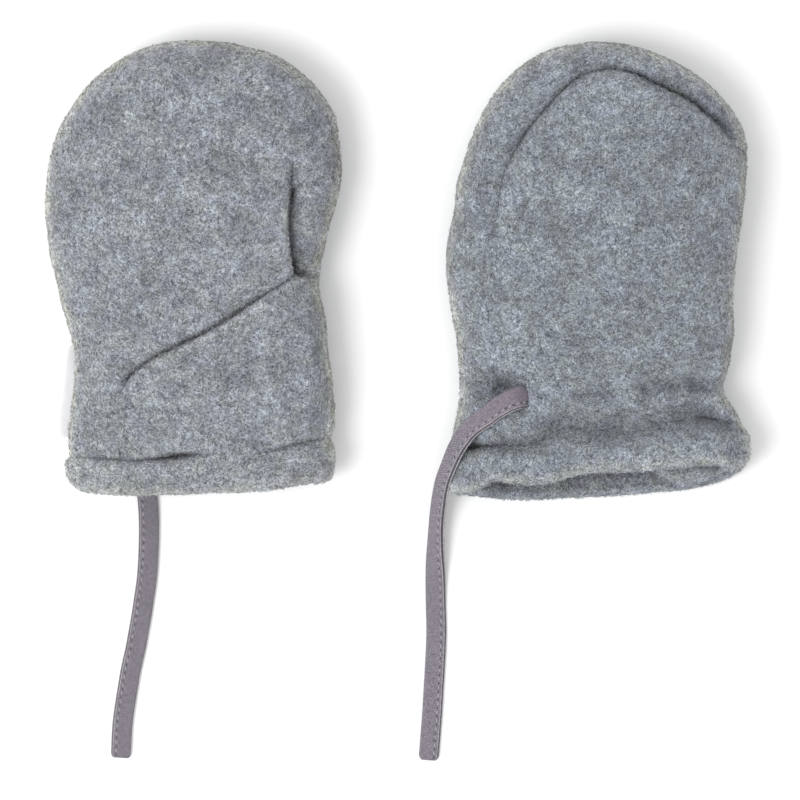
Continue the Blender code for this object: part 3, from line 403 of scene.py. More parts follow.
@dataclass
class Trough:
    """A crease made ready for pressing: a dense line with the depth at each of its points."""

    on_top: bool
    line: Array
    depth: Array
    width: float
    other_width: float
    power: float = 1.4
    reach: float = 3.2  # how far out it is worked out, in widths
    palm_share: float = 1.0  # how much of its depth the palm's cloth takes

    def press(self, points: Array, top: Array) -> Array:
        """Work out how deep the trough is at each point.

        Args:
            points: Places on the cloth.
            top: Whether each lies on the upper side.

        Returns:
            The depth at each place.
        """
        pressed = np.zeros(len(points))
        margin = self.reach * max(self.width, self.other_width)
        inside = np.all(points[:, :2] > self.line.min(axis=0) - margin, axis=1)
        inside &= np.all(points[:, :2] < self.line.max(axis=0) + margin, axis=1)
        rows = np.nonzero(inside & (top == self.on_top))[0]
        if len(rows) == 0:
            return pressed
        gap = points[rows, None, :2] - self.line[None, :, :]
        away = np.linalg.norm(gap, axis=2)
        near = np.argmin(away, axis=1)
        each = np.arange(len(rows))
        forward = np.gradient(self.line, axis=0)[near]
        chosen = gap[each, near]
        left_hand = forward[:, 0] * chosen[:, 1] - forward[:, 1] * chosen[:, 0] > 0
        width = np.where(left_hand, self.width, self.other_width)
        pressed[rows] = self.depth[near] * bell(away[each, near] / width, self.power)
        return pressed


@dataclass
class MittenForm:
    """One mitten's outer form, as its solids have it, with the small creases pressed in.

    The ring parameter runs 0 to 2 over the back and 2 to 4 over the palm.
    """

    up: Side
    sections: Rows
    heights: Rows
    crease_top: Rows
    crease_foot: Rows
    dip_top: Rows
    lift: float  # height of the cuff's underside above the floor
    flap_stop: float
    creases: Sequence[Crease]
    seed: int
    troughs: list[Trough] = field(init=False)

    def __post_init__(self) -> None:
        """Work out what the tables give once."""
        self.palm_up = self.up is Side.PALM
        self.dip_foot = [self.dip_top[0], *FOOT_DIP, self.dip_top[-1]]
        self.tip = self.sections[-1][0]
        self.by_depth = [(math.sqrt(self.tip - y), left, right) for y, left, right in self.sections]
        self.crease_mean = float(np.mean([row[1] for row in self.crease_top]))
        self.troughs = self.make_troughs()

    def sides(self, y: object) -> tuple[Array, Array]:
        """Give x of the left and right side at each y."""
        both = curve_through(self.by_depth, np.sqrt(np.maximum(self.tip - np.asarray(y, dtype=float), 0.0)))
        return both[..., 0], both[..., 1]

    def share_of(self, ring: object) -> Array:
        """Give the share of the half width, from -1 at the left side to 1 at the right side."""
        ring = np.mod(ring, 4.0)
        return np.sin(np.where(ring <= 2.0, ring - 1.0, 3.0 - ring) * math.pi / 2)

    def is_top(self, ring: object) -> Array:
        """Tell whether each place lies on the upper side."""
        return (np.mod(ring, 4.0) <= 2.0) != self.palm_up

    def lowest(self, y: object) -> Array:
        """Give the height of the underside: a cuff with the tape under it stands higher."""
        return self.lift * (1 - smooth_step((np.asarray(y, dtype=float) - LIFT_START) / LIFT_RAMP))

    def base(self, share: Array, y: Array, top: Array) -> Array:
        """Give points of the plain form.

        Args:
            share: Share of the half width.
            y: Distance from the foot.
            top: Whether each point lies on the upper side.

        Returns:
            The points.
        """
        left, right = self.sides(y)
        height = read(self.heights, y)
        toe = np.sqrt(1 - (1 - np.clip((self.tip - y) / TIP_ROLL, 0.0, 1.0)) ** 2)
        level = EDGE_LEVEL * height
        size = np.clip(np.abs(share), 0.0, 1.0)
        above = (height - level) * toe * (1 - size**TOP_POWER) ** (1 / TOP_ROOT)
        below = level * toe * FOOT_PRESS * (1 - size**FOOT_POWER) ** (1 / FOOT_ROOT)
        floor = self.lowest(y)
        turn = np.clip(1 - np.abs(level - below - floor) / FOOT_BLEND, 0.0, 1.0)
        foot = np.maximum(level - below, floor) + turn**2 * FOOT_BLEND / 4
        z = np.where(top, level + above, foot)
        return np.stack([(left + right) / 2 + (right - left) / 2 * share, y, z], axis=-1)

    def plain(self, ring: Array, y: Array) -> Array:
        """Give points of the plain form at ring parameters."""
        return self.base(self.share_of(ring), y, self.is_top(ring))

    def normals(self, ring: Array, y: Array) -> Array:
        """Work out outward normals of the plain form, by differences.

        Args:
            ring: Ring parameters.
            y: Distance from the foot.

        Returns:
            The normal at each place.
        """
        low, high = np.maximum(y - NORMAL_STEP_Y, 0.0), np.minimum(y + NORMAL_STEP_Y, self.tip - 0.05)
        around = self.plain(ring + NORMAL_STEP_RING, y) - self.plain(ring - NORMAL_STEP_RING, y)
        upward = self.plain(ring, high) - self.plain(ring, low)
        return unit(np.cross(around, upward) * (-1.0 if self.palm_up else 1.0))

    def crease_at(self, share: Array, top: Array) -> Array:
        """Give y of the crease above the hem."""
        return np.where(top, read(self.crease_top, share), read(self.crease_foot, share))

    def dip_at(self, share: Array, top: Array) -> Array:
        """Give depth, width and crispness of the crease above the hem."""
        above, below = curve_through(self.dip_top, share), curve_through(self.dip_foot, share)
        return np.maximum(np.where(top[:, None], above, below), 0.0)

    def dip_crisp(self, ring: Array) -> Array:
        """Give how crisp the crease above the hem is at ring parameters."""
        return self.dip_at(self.share_of(ring), self.is_top(ring))[:, 2]

    def seam_ring(self, y: object) -> tuple[Array, Array]:
        """Find the long seam.

        Args:
            y: Distance from the foot.

        Returns:
            The ring parameter of its left and of its right run.
        """
        left = 1 + np.arcsin(np.clip(read(SEAM_LEFT, y), -1, 1)) * 2 / math.pi
        runs = [(row_y, 1 + math.asin(share) * 2 / math.pi) for row_y, share in SEAM_RIGHT_BACK]
        runs += [(row_y, 3 - math.asin(share) * 2 / math.pi) for row_y, share in SEAM_RIGHT_PALM]
        return left, read(runs, y)

    def make_troughs(self) -> list[Trough]:
        """Make the seam's and the casing's troughs, and then the small creases.

        Returns:
            All of them.
        """
        back_top = not self.palm_up

        def from_shares(rows: Rows, top: bool, width: float, other_width: float) -> Trough:
            """Make a trough from rows of share, y and depth."""
            table = np.array(rows, dtype=float)
            steps = np.linspace(0, len(table) - 1, 12 * len(table))
            share, y, depth = (np.interp(steps, np.arange(len(table)), table[:, i]) for i in range(3))
            points = self.base(share, y, np.full(share.shape, top))[:, :2]
            return Trough(top, points, depth, width, other_width)

        def with_depth(rows: Rows, depths: Rows) -> list[tuple[float, float, float]]:
            """Turn rows of y and share round, and add the depth."""
            found = read(depths, [y for y, share in rows])
            return [(share, y, d) for (y, share), d in zip(rows, found)]

        arch = with_depth(SEAM_LEFT, SEAM_DEPTHS) + with_depth(SEAM_RIGHT_BACK, SEAM_BACK_DEPTHS)[1:]
        fold = from_shares(with_depth(SEAM_RIGHT_PALM, FOLD_DEPTHS), not back_top, *FOLD_WIDTHS)
        fold.palm_share = FOLD_PALM_SHARE
        made = [from_shares(arch, back_top, ARCH_WIDTH, ARCH_WIDTH), fold]
        for rows, width in ((TROUGH_UPPER_CREASE, UPPER_CREASE_WIDTH), (TROUGH_GATHER, GATHER_WIDTH)):
            made.append(from_shares(rows, back_top, width, width))
        for crease in self.creases:
            line = route_through([(x, y, 0.0, depth) for x, y, depth in crease.points], 0.5)
            other = crease.other_width or crease.width
            made.append(Trough(True, line[:, :2], line[:, 3], crease.width, other, crease.power))
        return made

    def relief(self, points: Array, ring: Array, of_palm: bool) -> tuple[Array, Array]:
        """Work out how far each outer point moves outward.

        Args:
            points: Points of the plain form.
            ring: Their ring parameters.
            of_palm: Whether they belong to the palm's cloth.

        Returns:
            The distance for each, below zero where the cloth is pressed in, and the painted shade that its
            creases give it.
        """
        top = self.is_top(ring)
        moved = np.zeros(len(points))
        for trough in self.troughs:
            moved -= trough.press(points, top) * (trough.palm_share if of_palm else 1.0)
        share = self.share_of(ring)
        above_crease = points[:, 1] - self.crease_at(share, top)
        dip = self.dip_at(share, top)
        moved -= dip[:, 0] * bell(above_crease / np.maximum(dip[:, 1], 0.4), 1.5)
        shade = CREASE_SHADE * np.clip(-moved - 0.3, 0.0, 4.0)
        strength = np.where(top != self.palm_up, 1.0, PALM_PUCKERS)
        for count, height, phase in PUCKERS:
            wave = np.sin(ring * math.pi / 2 * count + phase)
            moved += height * wave * bell((above_crease - PUCKER_Y) / PUCKER_REACH) * strength
        for size, height in SURFACE_WAVES:
            moved += height * ripple(points, size, self.seed)
        return moved, shade

    def flap_top(self, ring: Array) -> Array:
        """Give y of the lower palm piece's slanting edge, level once it is round the side."""
        return np.where(np.mod(ring, 4.0) > 2.0, read(FLAP_SLANT, self.share_of(ring)), FLAP_SLANT[0][1])

    def flap_end_ring(self, y: object) -> Array:
        """Give the ring parameter of the lower palm piece's inner end at each y."""
        return 3 - np.arcsin(read(FLAP_END, y)) * 2 / math.pi

    def flap_border(self) -> tuple[Array, Array]:
        """Follow the free sides of the lower palm piece.

        Returns:
            Points along them, and how crisp each is.
        """
        ring = np.linspace(self.flap_stop, float(self.flap_end_ring(FLAP_END[0][0])), 120)
        end_y = np.linspace(FLAP_END[0][0], FLAP_END[-1][0], 80)
        side_y = np.linspace(self.crease_mean, FLAP_SLANT[0][1], 80)
        slant = self.plain(ring, self.flap_top(ring))
        end = self.plain(self.flap_end_ring(end_y), end_y)
        side = self.plain(np.full(80, self.flap_stop), side_y)
        fading = np.clip(read(FLAP_END_CRISP, end_y), 0.0, 1.0)
        past_fold = np.where(np.mod(ring, 4.0) > 2.0, self.share_of(ring), 1.0)
        slant_crisp = 1 - 0.35 * smooth_step((past_fold - 0.4) / 0.4)
        slant_crisp -= 0.35 * smooth_step((past_fold - 0.87) / 0.07)
        return np.vstack([slant, end, side]), np.concatenate([slant_crisp, fading, np.ones(80)])

    def flap_edge(self, points: Array, ring: Array) -> tuple[Array, Array]:
        """Find the lower palm piece's nearest free side.

        Args:
            points: Points of the plain form.
            ring: Their ring parameters.

        Returns:
            How far each point lies inside it, below zero outside, and how crisp it is there.
        """
        border, crisp = self.flap_border()
        away = np.linalg.norm(points[:, None, :] - border[None, :, :], axis=2)
        near = np.argmin(away, axis=1)
        around = np.mod(ring, 4.0)
        between = (around >= self.flap_stop) & (around <= self.flap_end_ring(points[:, 1]))
        inside = between & (points[:, 1] <= self.flap_top(ring))
        found = away[np.arange(len(points)), near]
        return np.where(inside, found, -found), crisp[near]

    def flap_drop(self, inside: Array, crisp: Array) -> Array:
        """Work out how far the cloth sinks to pass under the lower palm piece, from flap_edge's values."""
        ramp = FLAP_RAMP * crisp + FLAP_FADE * (1 - crisp)
        return FLAP_DROP * smooth_step((inside + (FLAP_MARGIN + FLAP_RAMP) * crisp) / ramp)

    def flap_sheet(self, ring: Array, y: Array) -> tuple[Array, Array, Array, Array]:
        """Lay out the lower palm piece, which thins out over the palm panel at its smooth border.

        Args:
            ring: Ring parameters of its points.
            y: Their distance from the foot.

        Returns:
            Its outer and inner points, their painted shade and how crisp its nearest border is.
        """
        inside, crisp = self.flap_edge(self.plain(ring, y), ring)
        inside = np.maximum(inside, 0.0)
        wall = np.clip(self.flap_drop(inside, crisp) - FLAP_CLEAR, FLAP_THINNEST, FLAP_WALL)
        lip = FLAP_LIP * crisp * bell((inside - FLAP_LIP_PLACE) / FLAP_LIP_WIDTH)
        raised = FLAP_EASE * (1 - crisp) * (1 - smooth_step(inside / FLAP_EASE_WIDTH)) + lip
        return *self.sheet(ring, y, wall, False, True, raised), crisp

    def sheet(
        self,
        ring: Array,
        y: Array,
        wall: float | Array,
        sinks: bool,
        of_palm: bool,
        raised: float | Array = 0.0,
    ) -> tuple[Array, Array, Array]:
        """Lay out a sheet of cloth.

        Args:
            ring: Ring parameters of its points.
            y: Their distance from the foot.
            wall: Thickness of the cloth.
            sinks: Whether it passes under the lower palm piece.
            of_palm: Whether it is the palm's cloth.
            raised: How far it lies above its own place.

        Returns:
            The outer points, the inner ones and the painted shade of each: from creases and under the lower
            palm piece, less the painted light where it turns down.
        """
        points, normals = self.plain(ring, y), self.normals(ring, y)
        moved, shade = self.relief(points, ring, of_palm)
        # painted light: the shade value drops where the cloth turns down, which pales it
        moved, shade = moved + raised, shade - SIDE_PAINTED_LIGHT * turned_down(normals)
        if sinks:
            drop = self.flap_drop(*self.flap_edge(points, ring))
            moved -= drop
            # painted shade on the cloth that passes under the lower palm piece
            shade = shade + FLAP_SHADE * drop / FLAP_DROP
        outer = points + normals * moved[:, None]
        inner = points + normals * (moved - wall)[:, None]
        outer[:, 2] = np.maximum(outer[:, 2], self.lowest(y))
        return outer, inner, shade

    def row_y(self, ring: Array, station: float | None) -> Array:
        """Place one row, which follows the bent crease near it and is level higher up.

        Args:
            ring: Ring parameters along it.
            station: Its own y, or None for the row on the crease.

        Returns:
            The y of each of its points.
        """
        crease = self.crease_at(self.share_of(ring), self.is_top(ring))
        if station is None:
            return crease
        bend = 1 - smooth_step((station - self.crease_mean) / ROW_BEND)
        return station + bend * (crease - self.crease_mean)


def link(name: str, data: bpy.types.ID) -> Piece:
    """Put new data in the scene as an object at the origin."""
    obj = bpy.data.objects.new(name, data)
    bpy.context.scene.collection.objects.link(obj)
    return obj


def place_mesh(name: str, points: Array, faces: Sequence[Face], x: float, finish: Material) -> Piece:
    """Make an object from points round a mitten's own middle line.

    Args:
        name: The object's name.
        points: Its points in millimetres.
        faces: Its faces.
        x: Where the mitten's middle line lies.
        finish: Its finish.

    Returns:
        The object, at the origin, with its place in its mesh.
    """
    mesh = bpy.data.meshes.new(name)
    mesh.from_pydata(((points + (x, DEPTH_Y, 0.0)) * MM).tolist(), [], [tuple(face) for face in faces])
    mesh.validate()
    mesh.shade_smooth()
    mesh.materials.append(finish)
    return link(name, mesh)


def grid_faces(rows: int, columns: int, round_rows: bool = False) -> list[Face]:
    """List the four-sided faces of a grid of points.

    Args:
        rows: Number of rows.
        columns: Points in a row.
        round_rows: Whether each row closes on itself.

    Returns:
        The faces.
    """
    faces = []
    for r in range(rows - 1):
        for c in range(columns if round_rows else columns - 1):
            d = (c + 1) % columns
            faces.append((r * columns + c, r * columns + d, (r + 1) * columns + d, (r + 1) * columns + c))
    return faces


def tube_faces(rows: int, columns: int) -> list[Face]:
    """List the faces of a closed tube: its wall and one face over each end."""
    last = (rows - 1) * columns
    ends = [tuple(range(columns)), tuple(range(last, last + columns))[::-1]]
    return grid_faces(rows, columns, round_rows=True) + ends


def face_out(obj: Piece) -> None:
    """Turn the faces of a closed piece outward."""
    bm = bmesh.new()
    bm.from_mesh(obj.data)
    bmesh.ops.recalc_face_normals(bm, faces=bm.faces)
    bm.to_mesh(obj.data)
    bm.free()


def set_values(obj: Piece, name: str, values: Array) -> None:
    """Keep one number for each point of a piece, under a name that nodes can read."""
    attribute = obj.data.attributes.new(name, "FLOAT", "POINT")
    attribute.data.foreach_set("value", values.astype(np.float32))


class Bench:
    """Adds nodes to one tree and joins them."""

    def __init__(self, tree: Tree) -> None:
        """Start on an empty tree."""
        self.tree = tree
        tree.nodes.clear()

    def add(
        self, kind: str, inputs: dict[str | int, object] | None = None, **settings: object
    ) -> bpy.types.Node:
        """Add a node.

        Args:
            kind: The node's type.
            inputs: Values or sockets for its inputs; a colour has three numbers.
            **settings: Its other properties.

        Returns:
            The node.
        """
        node = self.tree.nodes.new(kind)
        for key, value in settings.items():
            setattr(node, key, value)
        for key, value in (inputs or {}).items():
            if isinstance(value, Socket):
                self.tree.links.new(value, node.inputs[key])
            else:
                node.inputs[key].default_value = (*value, 1.0) if node.inputs[key].type == "RGBA" else value
        return node

    def out(self, kind: str, inputs: dict[str | int, object] | None = None, **settings: object) -> Socket:
        """Add a node and give its first output."""
        return self.add(kind, inputs, **settings).outputs[0]

    def place(self) -> Socket:
        """Read the place on the piece."""
        return self.add("ShaderNodeTexCoord").outputs["Object"]

    def attribute(self, name: str) -> Socket:
        """Read a number that the piece keeps for each point."""
        return self.add("ShaderNodeAttribute", attribute_name=name).outputs["Fac"]

    def math(self, operation: str, first: object, second: object = 0.0, third: object = 0.0) -> Socket:
        """Add a Math node."""
        return self.out("ShaderNodeMath", {0: first, 1: second, 2: third}, operation=operation)

    def times(self, first: object, second: object) -> Socket:
        """Multiply two numbers."""
        return self.math("MULTIPLY", first, second)

    def wave(self, along: object, pitch: float) -> Socket:
        """Give a sine wave of a pitch."""
        return self.math("SINE", self.times(along, 2 * math.pi / pitch))

    def scaled(self, vector: object, factor: Socket) -> Socket:
        """Multiply a vector or colour by a number."""
        return self.out("ShaderNodeVectorMath", {0: vector, "Scale": factor}, operation="SCALE")

    def tinted(self, colour: Socket, tint: Socket) -> Socket:
        """Multiply a colour by a colour."""
        return self.out("ShaderNodeVectorMath", {0: colour, 1: tint}, operation="MULTIPLY")

    def vector(self, x: object = 0.0, y: object = 0.0, z: object = 0.0) -> Socket:
        """Join three numbers to a vector."""
        return self.out("ShaderNodeCombineXYZ", {0: x, 1: y, 2: z})

    def spread(self, value: object, low: float, high: float, to_low: float, to_high: float) -> Socket:
        """Bring a value from one range to another, and hold it there."""
        limits = {"Value": value, "From Min": low, "From Max": high, "To Min": to_low, "To Max": to_high}
        return self.out("ShaderNodeMapRange", limits)

    def noise(self, place: Socket, scale: float, detail: float = 2.0, distortion: float = 0.0) -> Socket:
        """Add a noise pattern."""
        inputs = {"Vector": place, "Scale": scale, "Detail": detail, "Distortion": distortion}
        return self.out("ShaderNodeTexNoise", inputs)

    def cloud(self, place: Socket, scale: float, detail: float, low: float, high: float) -> Socket:
        """Add a noise pattern spread from a low to a high value."""
        return self.spread(self.noise(place, scale, detail), 0.3, 0.7, low, high)

    def blend(self, share: Socket, first: object, second: object) -> Socket:
        """Blend two colours."""
        return self.add("ShaderNodeMix", {0: share, 6: first, 7: second}, data_type="RGBA").outputs[2]

    def bump(self, height: Socket, strength: float, distance: float) -> Socket:
        """Turn heights into a bent normal."""
        return self.out("ShaderNodeBump", {"Strength": strength, "Distance": distance, "Height": height})

    def shader(self, **values: object) -> None:
        """Add the surface shader and the output."""
        made = self.out("ShaderNodeBsdfPrincipled", {key.replace("_", " "): v for key, v in values.items()})
        self.add("ShaderNodeOutputMaterial", {"Surface": made})


def new_material(name: str) -> tuple[Material, Bench]:
    """Make a material with an empty tree."""
    material = bpy.data.materials.new(name)
    material.use_nodes = True
    return material, Bench(material.node_tree)


@dataclass(frozen=True)
class FleeceFinish:
    """Grey melange wool fleece: flecks of dark and light fibre with wide soft blotches."""

    dark: Colour
    light: Colour
    blotch: float = 0.2
    blotch_size: float = 9.0
    mottle: float = 0.2
    mottle_size: float = 2.3
    cool: Colour = (0.992, 0.988, 1.03)  # patches lean to violet
    warm: Colour = (1.008, 1.012, 0.965)  # or to olive
    inner_shade: Colour = (0.70, 0.685, 0.65)  # painted shade on its inner faces, seen inside the mouth: how light they are against the outer one
    rim: Colour = (1.62, 1.54, 1.36)  # what it is multiplied by where the painted highlight is strongest, on rims and where it turns down
    hollow: float = 0.4  # how light the painted shade leaves it down in a crisp seam
    tint_size: float = 5.5
    fleck_turns: tuple[float, ...] = (0.35, 1.42, 2.48)  # the ways that flecks run
    fleck_weights: tuple[float, ...] = (0.36, 0.34, 0.3)
    fleck_length: float = 1.3
    fleck_width: float = 0.42
    bump: float = 0.00035
    sheen: float = 0.3
    sheen_tint: Colour = (1.0, 0.98, 0.93)

    def patches(self, bench: Bench, place: Socket, colour: Socket) -> Socket:
        """Lay wide soft blotches and patches of two tints over a colour by its place, and paint light and
        shade on it from its rim value.

        Args:
            bench: The material's bench.
            place: Where on the cloth.
            colour: The colour.

        Returns:
            The socket that holds the result.
        """
        blotch = bench.cloud(place, 1 / MM / self.blotch_size, 3.0, 1.0 - self.blotch, 1.0 + self.blotch)
        mottle = bench.cloud(place, 1 / MM / self.mottle_size, 2.0, 1.0 - self.mottle, 1.0 + self.mottle)
        # the rim value paints light and shade: above zero a pale sandy highlight, below zero shade in seams,
        # creases, under the lower palm piece and in the mouth
        rim = bench.attribute("rim")
        painted_pale = bench.tinted(colour, bench.blend(rim, WHITE, self.rim))
        deep = bench.spread(rim, -1.0, 0.0, self.hollow, 1.0)
        both = bench.times(bench.times(blotch, mottle), deep)
        leaning = bench.spread(bench.noise(place, 1 / MM / self.tint_size, 1.5, 0.5), 0.4, 0.6, 0.0, 1.0)
        return bench.tinted(bench.scaled(painted_pale, both), bench.blend(leaning, self.cool, self.warm))

    def flecks(self, bench: Bench, place: Socket) -> Socket:
        """Add bent streaks that run three ways.

        Args:
            bench: The material's bench.
            place: Where on the cloth.

        Returns:
            The socket that holds the share of light fibre.
        """
        size = (self.fleck_length * MM, self.fleck_width * MM, self.fleck_width * MM)
        total: object = 0.0
        for turn, weight in zip(self.fleck_turns, self.fleck_weights):
            inputs = {"Vector": place, "Rotation": (0.3, 0.2, turn), "Scale": size}
            turned = bench.out("ShaderNodeMapping", inputs, vector_type="TEXTURE")
            total = bench.math("ADD", total, bench.times(bench.noise(turned, 1.0, 2.0, 1.1), weight))
        return bench.spread(total, 0.41, 0.59, 0.0, 1.0)

    def material(self, name: str) -> Material:
        """Make the finish of the cloth itself.

        Args:
            name: Its name.

        Returns:
            The finish.
        """
        material, bench = new_material(name)
        place = bench.place()
        flecks = self.flecks(bench, place)
        # inner faces are painted darker and warmer, standing in for the shade inside the mouth
        inner_shaded = bench.blend(bench.attribute("inner"), WHITE, self.inner_shade)
        shaded = bench.tinted(bench.blend(flecks, self.dark, self.light), inner_shaded)
        height = bench.math("MULTIPLY_ADD", flecks, 0.6, bench.noise(place, 1900.0, 3.0))
        bench.shader(
            Base_Color=self.patches(bench, place, shaded),
            Roughness=0.95,
            Normal=bench.bump(height, 0.8, self.bump),
            Sheen_Weight=self.sheen,
            Sheen_Roughness=0.45,
            Sheen_Tint=self.sheen_tint,
            Specular_IOR_Level=0.2,
        )
        return material

    def fibre_material(self, name: str) -> Material:
        """Make the finish of the fibres, each with a tone of its own.

        Args:
            name: Its name.

        Returns:
            The finish.
        """
        material, bench = new_material(name)
        darkest, lightest = tuple(c * 0.55 for c in self.dark), tuple(c * 1.3 for c in self.light)
        hair = bench.blend(bench.attribute("tone"), darkest, lightest)
        bench.shader(
            Base_Color=self.patches(bench, bench.place(), hair),
            Roughness=0.85,
            Sheen_Weight=self.sheen,
            Sheen_Roughness=0.4,
            Sheen_Tint=self.sheen_tint,
            Specular_IOR_Level=0.25,
        )
        return material


@dataclass(frozen=True)
class TapeFinish:
    """Folded grey tape with fine slanting ribs."""

    colour: Colour = (0.188, 0.171, 0.199)
    at_exit: Colour = (0.19, 0.163, 0.198)  # more purple near where it comes out
    edge: Colour = (0.36, 0.34, 0.36)  # painted highlight on the edges of its layers
    rib: float = 0.62
    thread: float = 0.43
    slant: float = 0.8

    def line(self, bench: Bench, across: Socket, place: float) -> Socket:
        """Mark a fine line that runs along the tape at a place across it: 1 on it and 0 beside it."""
        away = bench.math("ABSOLUTE", bench.math("SUBTRACT", across, place))
        return bench.spread(away, 0.05, 0.15, 1.0, 0.0)

    def material(self, name: str) -> Material:
        """Make the finish, from the tape's own run and width.

        Args:
            name: Its name.

        Returns:
            The finish.
        """
        material, bench = new_material(name)
        place, half = bench.place(), TAPE_WIDTH / 2
        apart = bench.add("ShaderNodeSeparateXYZ", {0: bench.out("ShaderNodeUVMap", uv_map="run")})
        along, across = apart.outputs[0], apart.outputs[1]
        ground = bench.blend(bench.spread(along, 4.0, 24.0, 0.0, 1.0), self.at_exit, self.colour)
        # painted highlight on the edges of both layers, and painted shadow in the step between them
        lower = bench.spread(across, half - 0.2, half - 0.12, 0.0, 1.0)
        cut = bench.math("MAXIMUM", lower, self.line(bench, across, half - 0.64))
        groove_shadow = bench.spread(self.line(bench, across, half - 0.38), 0.0, 1.0, 1.0, 0.5)
        slanted = bench.math("MULTIPLY_ADD", across, self.slant, along)
        bent = bench.math("MULTIPLY_ADD", bench.noise(place, 420.0), 0.5, slanted)
        weave = bench.math("MULTIPLY_ADD", bench.wave(along, self.thread), 0.35, bench.wave(bent, self.rib))
        shade = bench.spread(weave, -1.3, 1.3, 0.64, 1.36)
        soft = bench.noise(place, 1900.0, 3.0)
        both = bench.times(bench.times(shade, bench.spread(soft, 0.3, 0.7, 0.66, 1.34)), groove_shadow)
        bench.shader(
            Base_Color=bench.scaled(bench.blend(cut, ground, self.edge), both),
            Roughness=0.85,
            Normal=bench.bump(bench.math("MULTIPLY_ADD", soft, 0.8, weave), 0.7, 0.00012),
            Sheen_Weight=0.12,
            Sheen_Roughness=0.5,
            Specular_IOR_Level=0.25,
        )
        return material


@dataclass(frozen=True)
class ThreadFinish:
    """Sewing thread, and the dark beads painted as the shade in needle holes."""

    colour: Colour = (0.36, 0.345, 0.37)

    def material(self, name: str) -> Material:
        """Make the finish.

        Args:
            name: Its name.

        Returns:
            The finish.
        """
        material, bench = new_material(name)
        colour = bench.scaled(self.colour, bench.cloud(bench.place(), 3000.0, 2.0, 0.8, 1.15))
        bench.shader(Base_Color=colour, Roughness=0.6, Specular_IOR_Level=0.3)
        return material


@dataclass(frozen=True)
class LabelFinish:
    """Plain white ribbon with a fine even weave."""

    colour: Colour = (0.63, 0.63, 0.645)
    thread: float = 0.28

    def material(self, name: str) -> Material:
        """Make the finish.

        Args:
            name: Its name.

        Returns:
            The finish.
        """
        material, bench = new_material(name)
        place = bench.place()
        apart = bench.add("ShaderNodeSeparateXYZ", {0: place}).outputs
        weave = bench.times(*(bench.wave(apart[i], self.thread * MM) for i in range(2)))
        colour = bench.scaled(self.colour, bench.cloud(place, 240.0, 2.0, 0.95, 1.03))
        bench.shader(
            Base_Color=colour,
            Roughness=0.6,
            Normal=bench.bump(weave, 0.5, 0.00006),
            Specular_IOR_Level=0.35,
        )
        return material


@dataclass(frozen=True)
class FloorFinish:
    """A plain pale floor."""

    colour: Colour = (0.9, 0.9, 0.9)

    def material(self, name: str) -> Material:
        """Make the finish.

        Args:
            name: Its name.

        Returns:
            The finish.
        """
        material, bench = new_material(name)
        bench.shader(Base_Color=self.colour, Roughness=1.0, Specular_IOR_Level=0.0)
        return material


def new_tree(
    name: str, numbers: Sequence[str], whole: Sequence[str] = ()
) -> tuple[Bench, bpy.types.NodeOutputs]:
    """Start a tree of geometry nodes that takes named numbers and a finish.

    Args:
        name: The tree's name.
        numbers: Names of its inputs for numbers.
        whole: Names of those for whole numbers.

    Returns:
        The bench for it and the sockets of its inputs.
    """
    tree = bpy.data.node_groups.new(name, "GeometryNodeTree")
    kinds = {"Geometry": "Geometry"} | dict.fromkeys(numbers, "Float") | dict.fromkeys(whole, "Int")
    for key, kind in (kinds | {"Finish": "Material"}).items():
        tree.interface.new_socket(key, in_out="INPUT", socket_type="NodeSocket" + kind)
    tree.interface.new_socket("Geometry", in_out="OUTPUT", socket_type="NodeSocketGeometry")
    bench = Bench(tree)
    return bench, bench.add("NodeGroupInput").outputs


def end_tree(bench: Bench, instances: Socket, finish: Socket) -> Tree:
    """End a tree with realized, smooth, dressed geometry.

    Args:
        bench: The tree's bench.
        instances: What it has placed.
        finish: The input that holds the finish.

    Returns:
        The finished tree.
    """
    real = bench.out("GeometryNodeRealizeInstances", {0: instances})
    smooth = bench.out("GeometryNodeSetShadeSmooth", {0: real})
    dressed = bench.out("GeometryNodeSetMaterial", {"Geometry": smooth, "Material": finish})
    bench.add("NodeGroupOutput", {0: dressed})
    return bench.tree


def grown(name: str, source: bpy.types.Mesh, tree: Tree, values: dict[str, object]) -> Piece:
    """Run a tree on a mesh and keep the result as a plain object.

    Args:
        name: The new object's name.
        source: What the tree starts from.
        tree: The tree.
        values: Its named inputs, each set by its socket's identifier.

    Returns:
        The object, with no modifier left on it.
    """
    obj = link(name, source.copy())
    modifier = obj.modifiers.new(name, "NODES")
    modifier.node_group = tree
    for item in tree.interface.items_tree:
        if item.item_type == "SOCKET" and item.in_out == "INPUT" and item.name in values:
            modifier[item.identifier] = values[item.name]
    bpy.context.view_layer.update()
    graph = bpy.context.evaluated_depsgraph_get()
    made = bpy.data.meshes.new_from_object(obj.evaluated_get(graph))
    obj.modifiers.clear()
    obj.data = made
    made.name = name
    return obj


def spindle(bench: Bench, value: bpy.types.NodeOutputs, segments: int, rings: int) -> Socket:
    """Add a ball drawn out to the tree's Length and Thickness.

    Args:
        bench: The tree's bench.
        value: The sockets of its inputs.
        segments: Faces round the ball.
        rings: Faces from pole to pole.

    Returns:
        The socket that holds it.
    """
    ball = bench.out("GeometryNodeMeshUVSphere", {"Segments": segments, "Rings": rings, "Radius": 0.5})
    size = bench.vector(value["Thickness"], value["Thickness"], value["Length"])
    return bench.out("GeometryNodeTransform", {"Geometry": ball, "Scale": size})


def turned(bench: Bench, first: Socket, angles: Socket, space: str) -> Socket:
    """Turn a rotation further by some angles, in LOCAL or GLOBAL space."""
    turn = bench.out("FunctionNodeEulerToRotation", {0: angles})
    return bench.out("FunctionNodeRotateRotation", {0: first, 1: turn}, rotation_space=space)


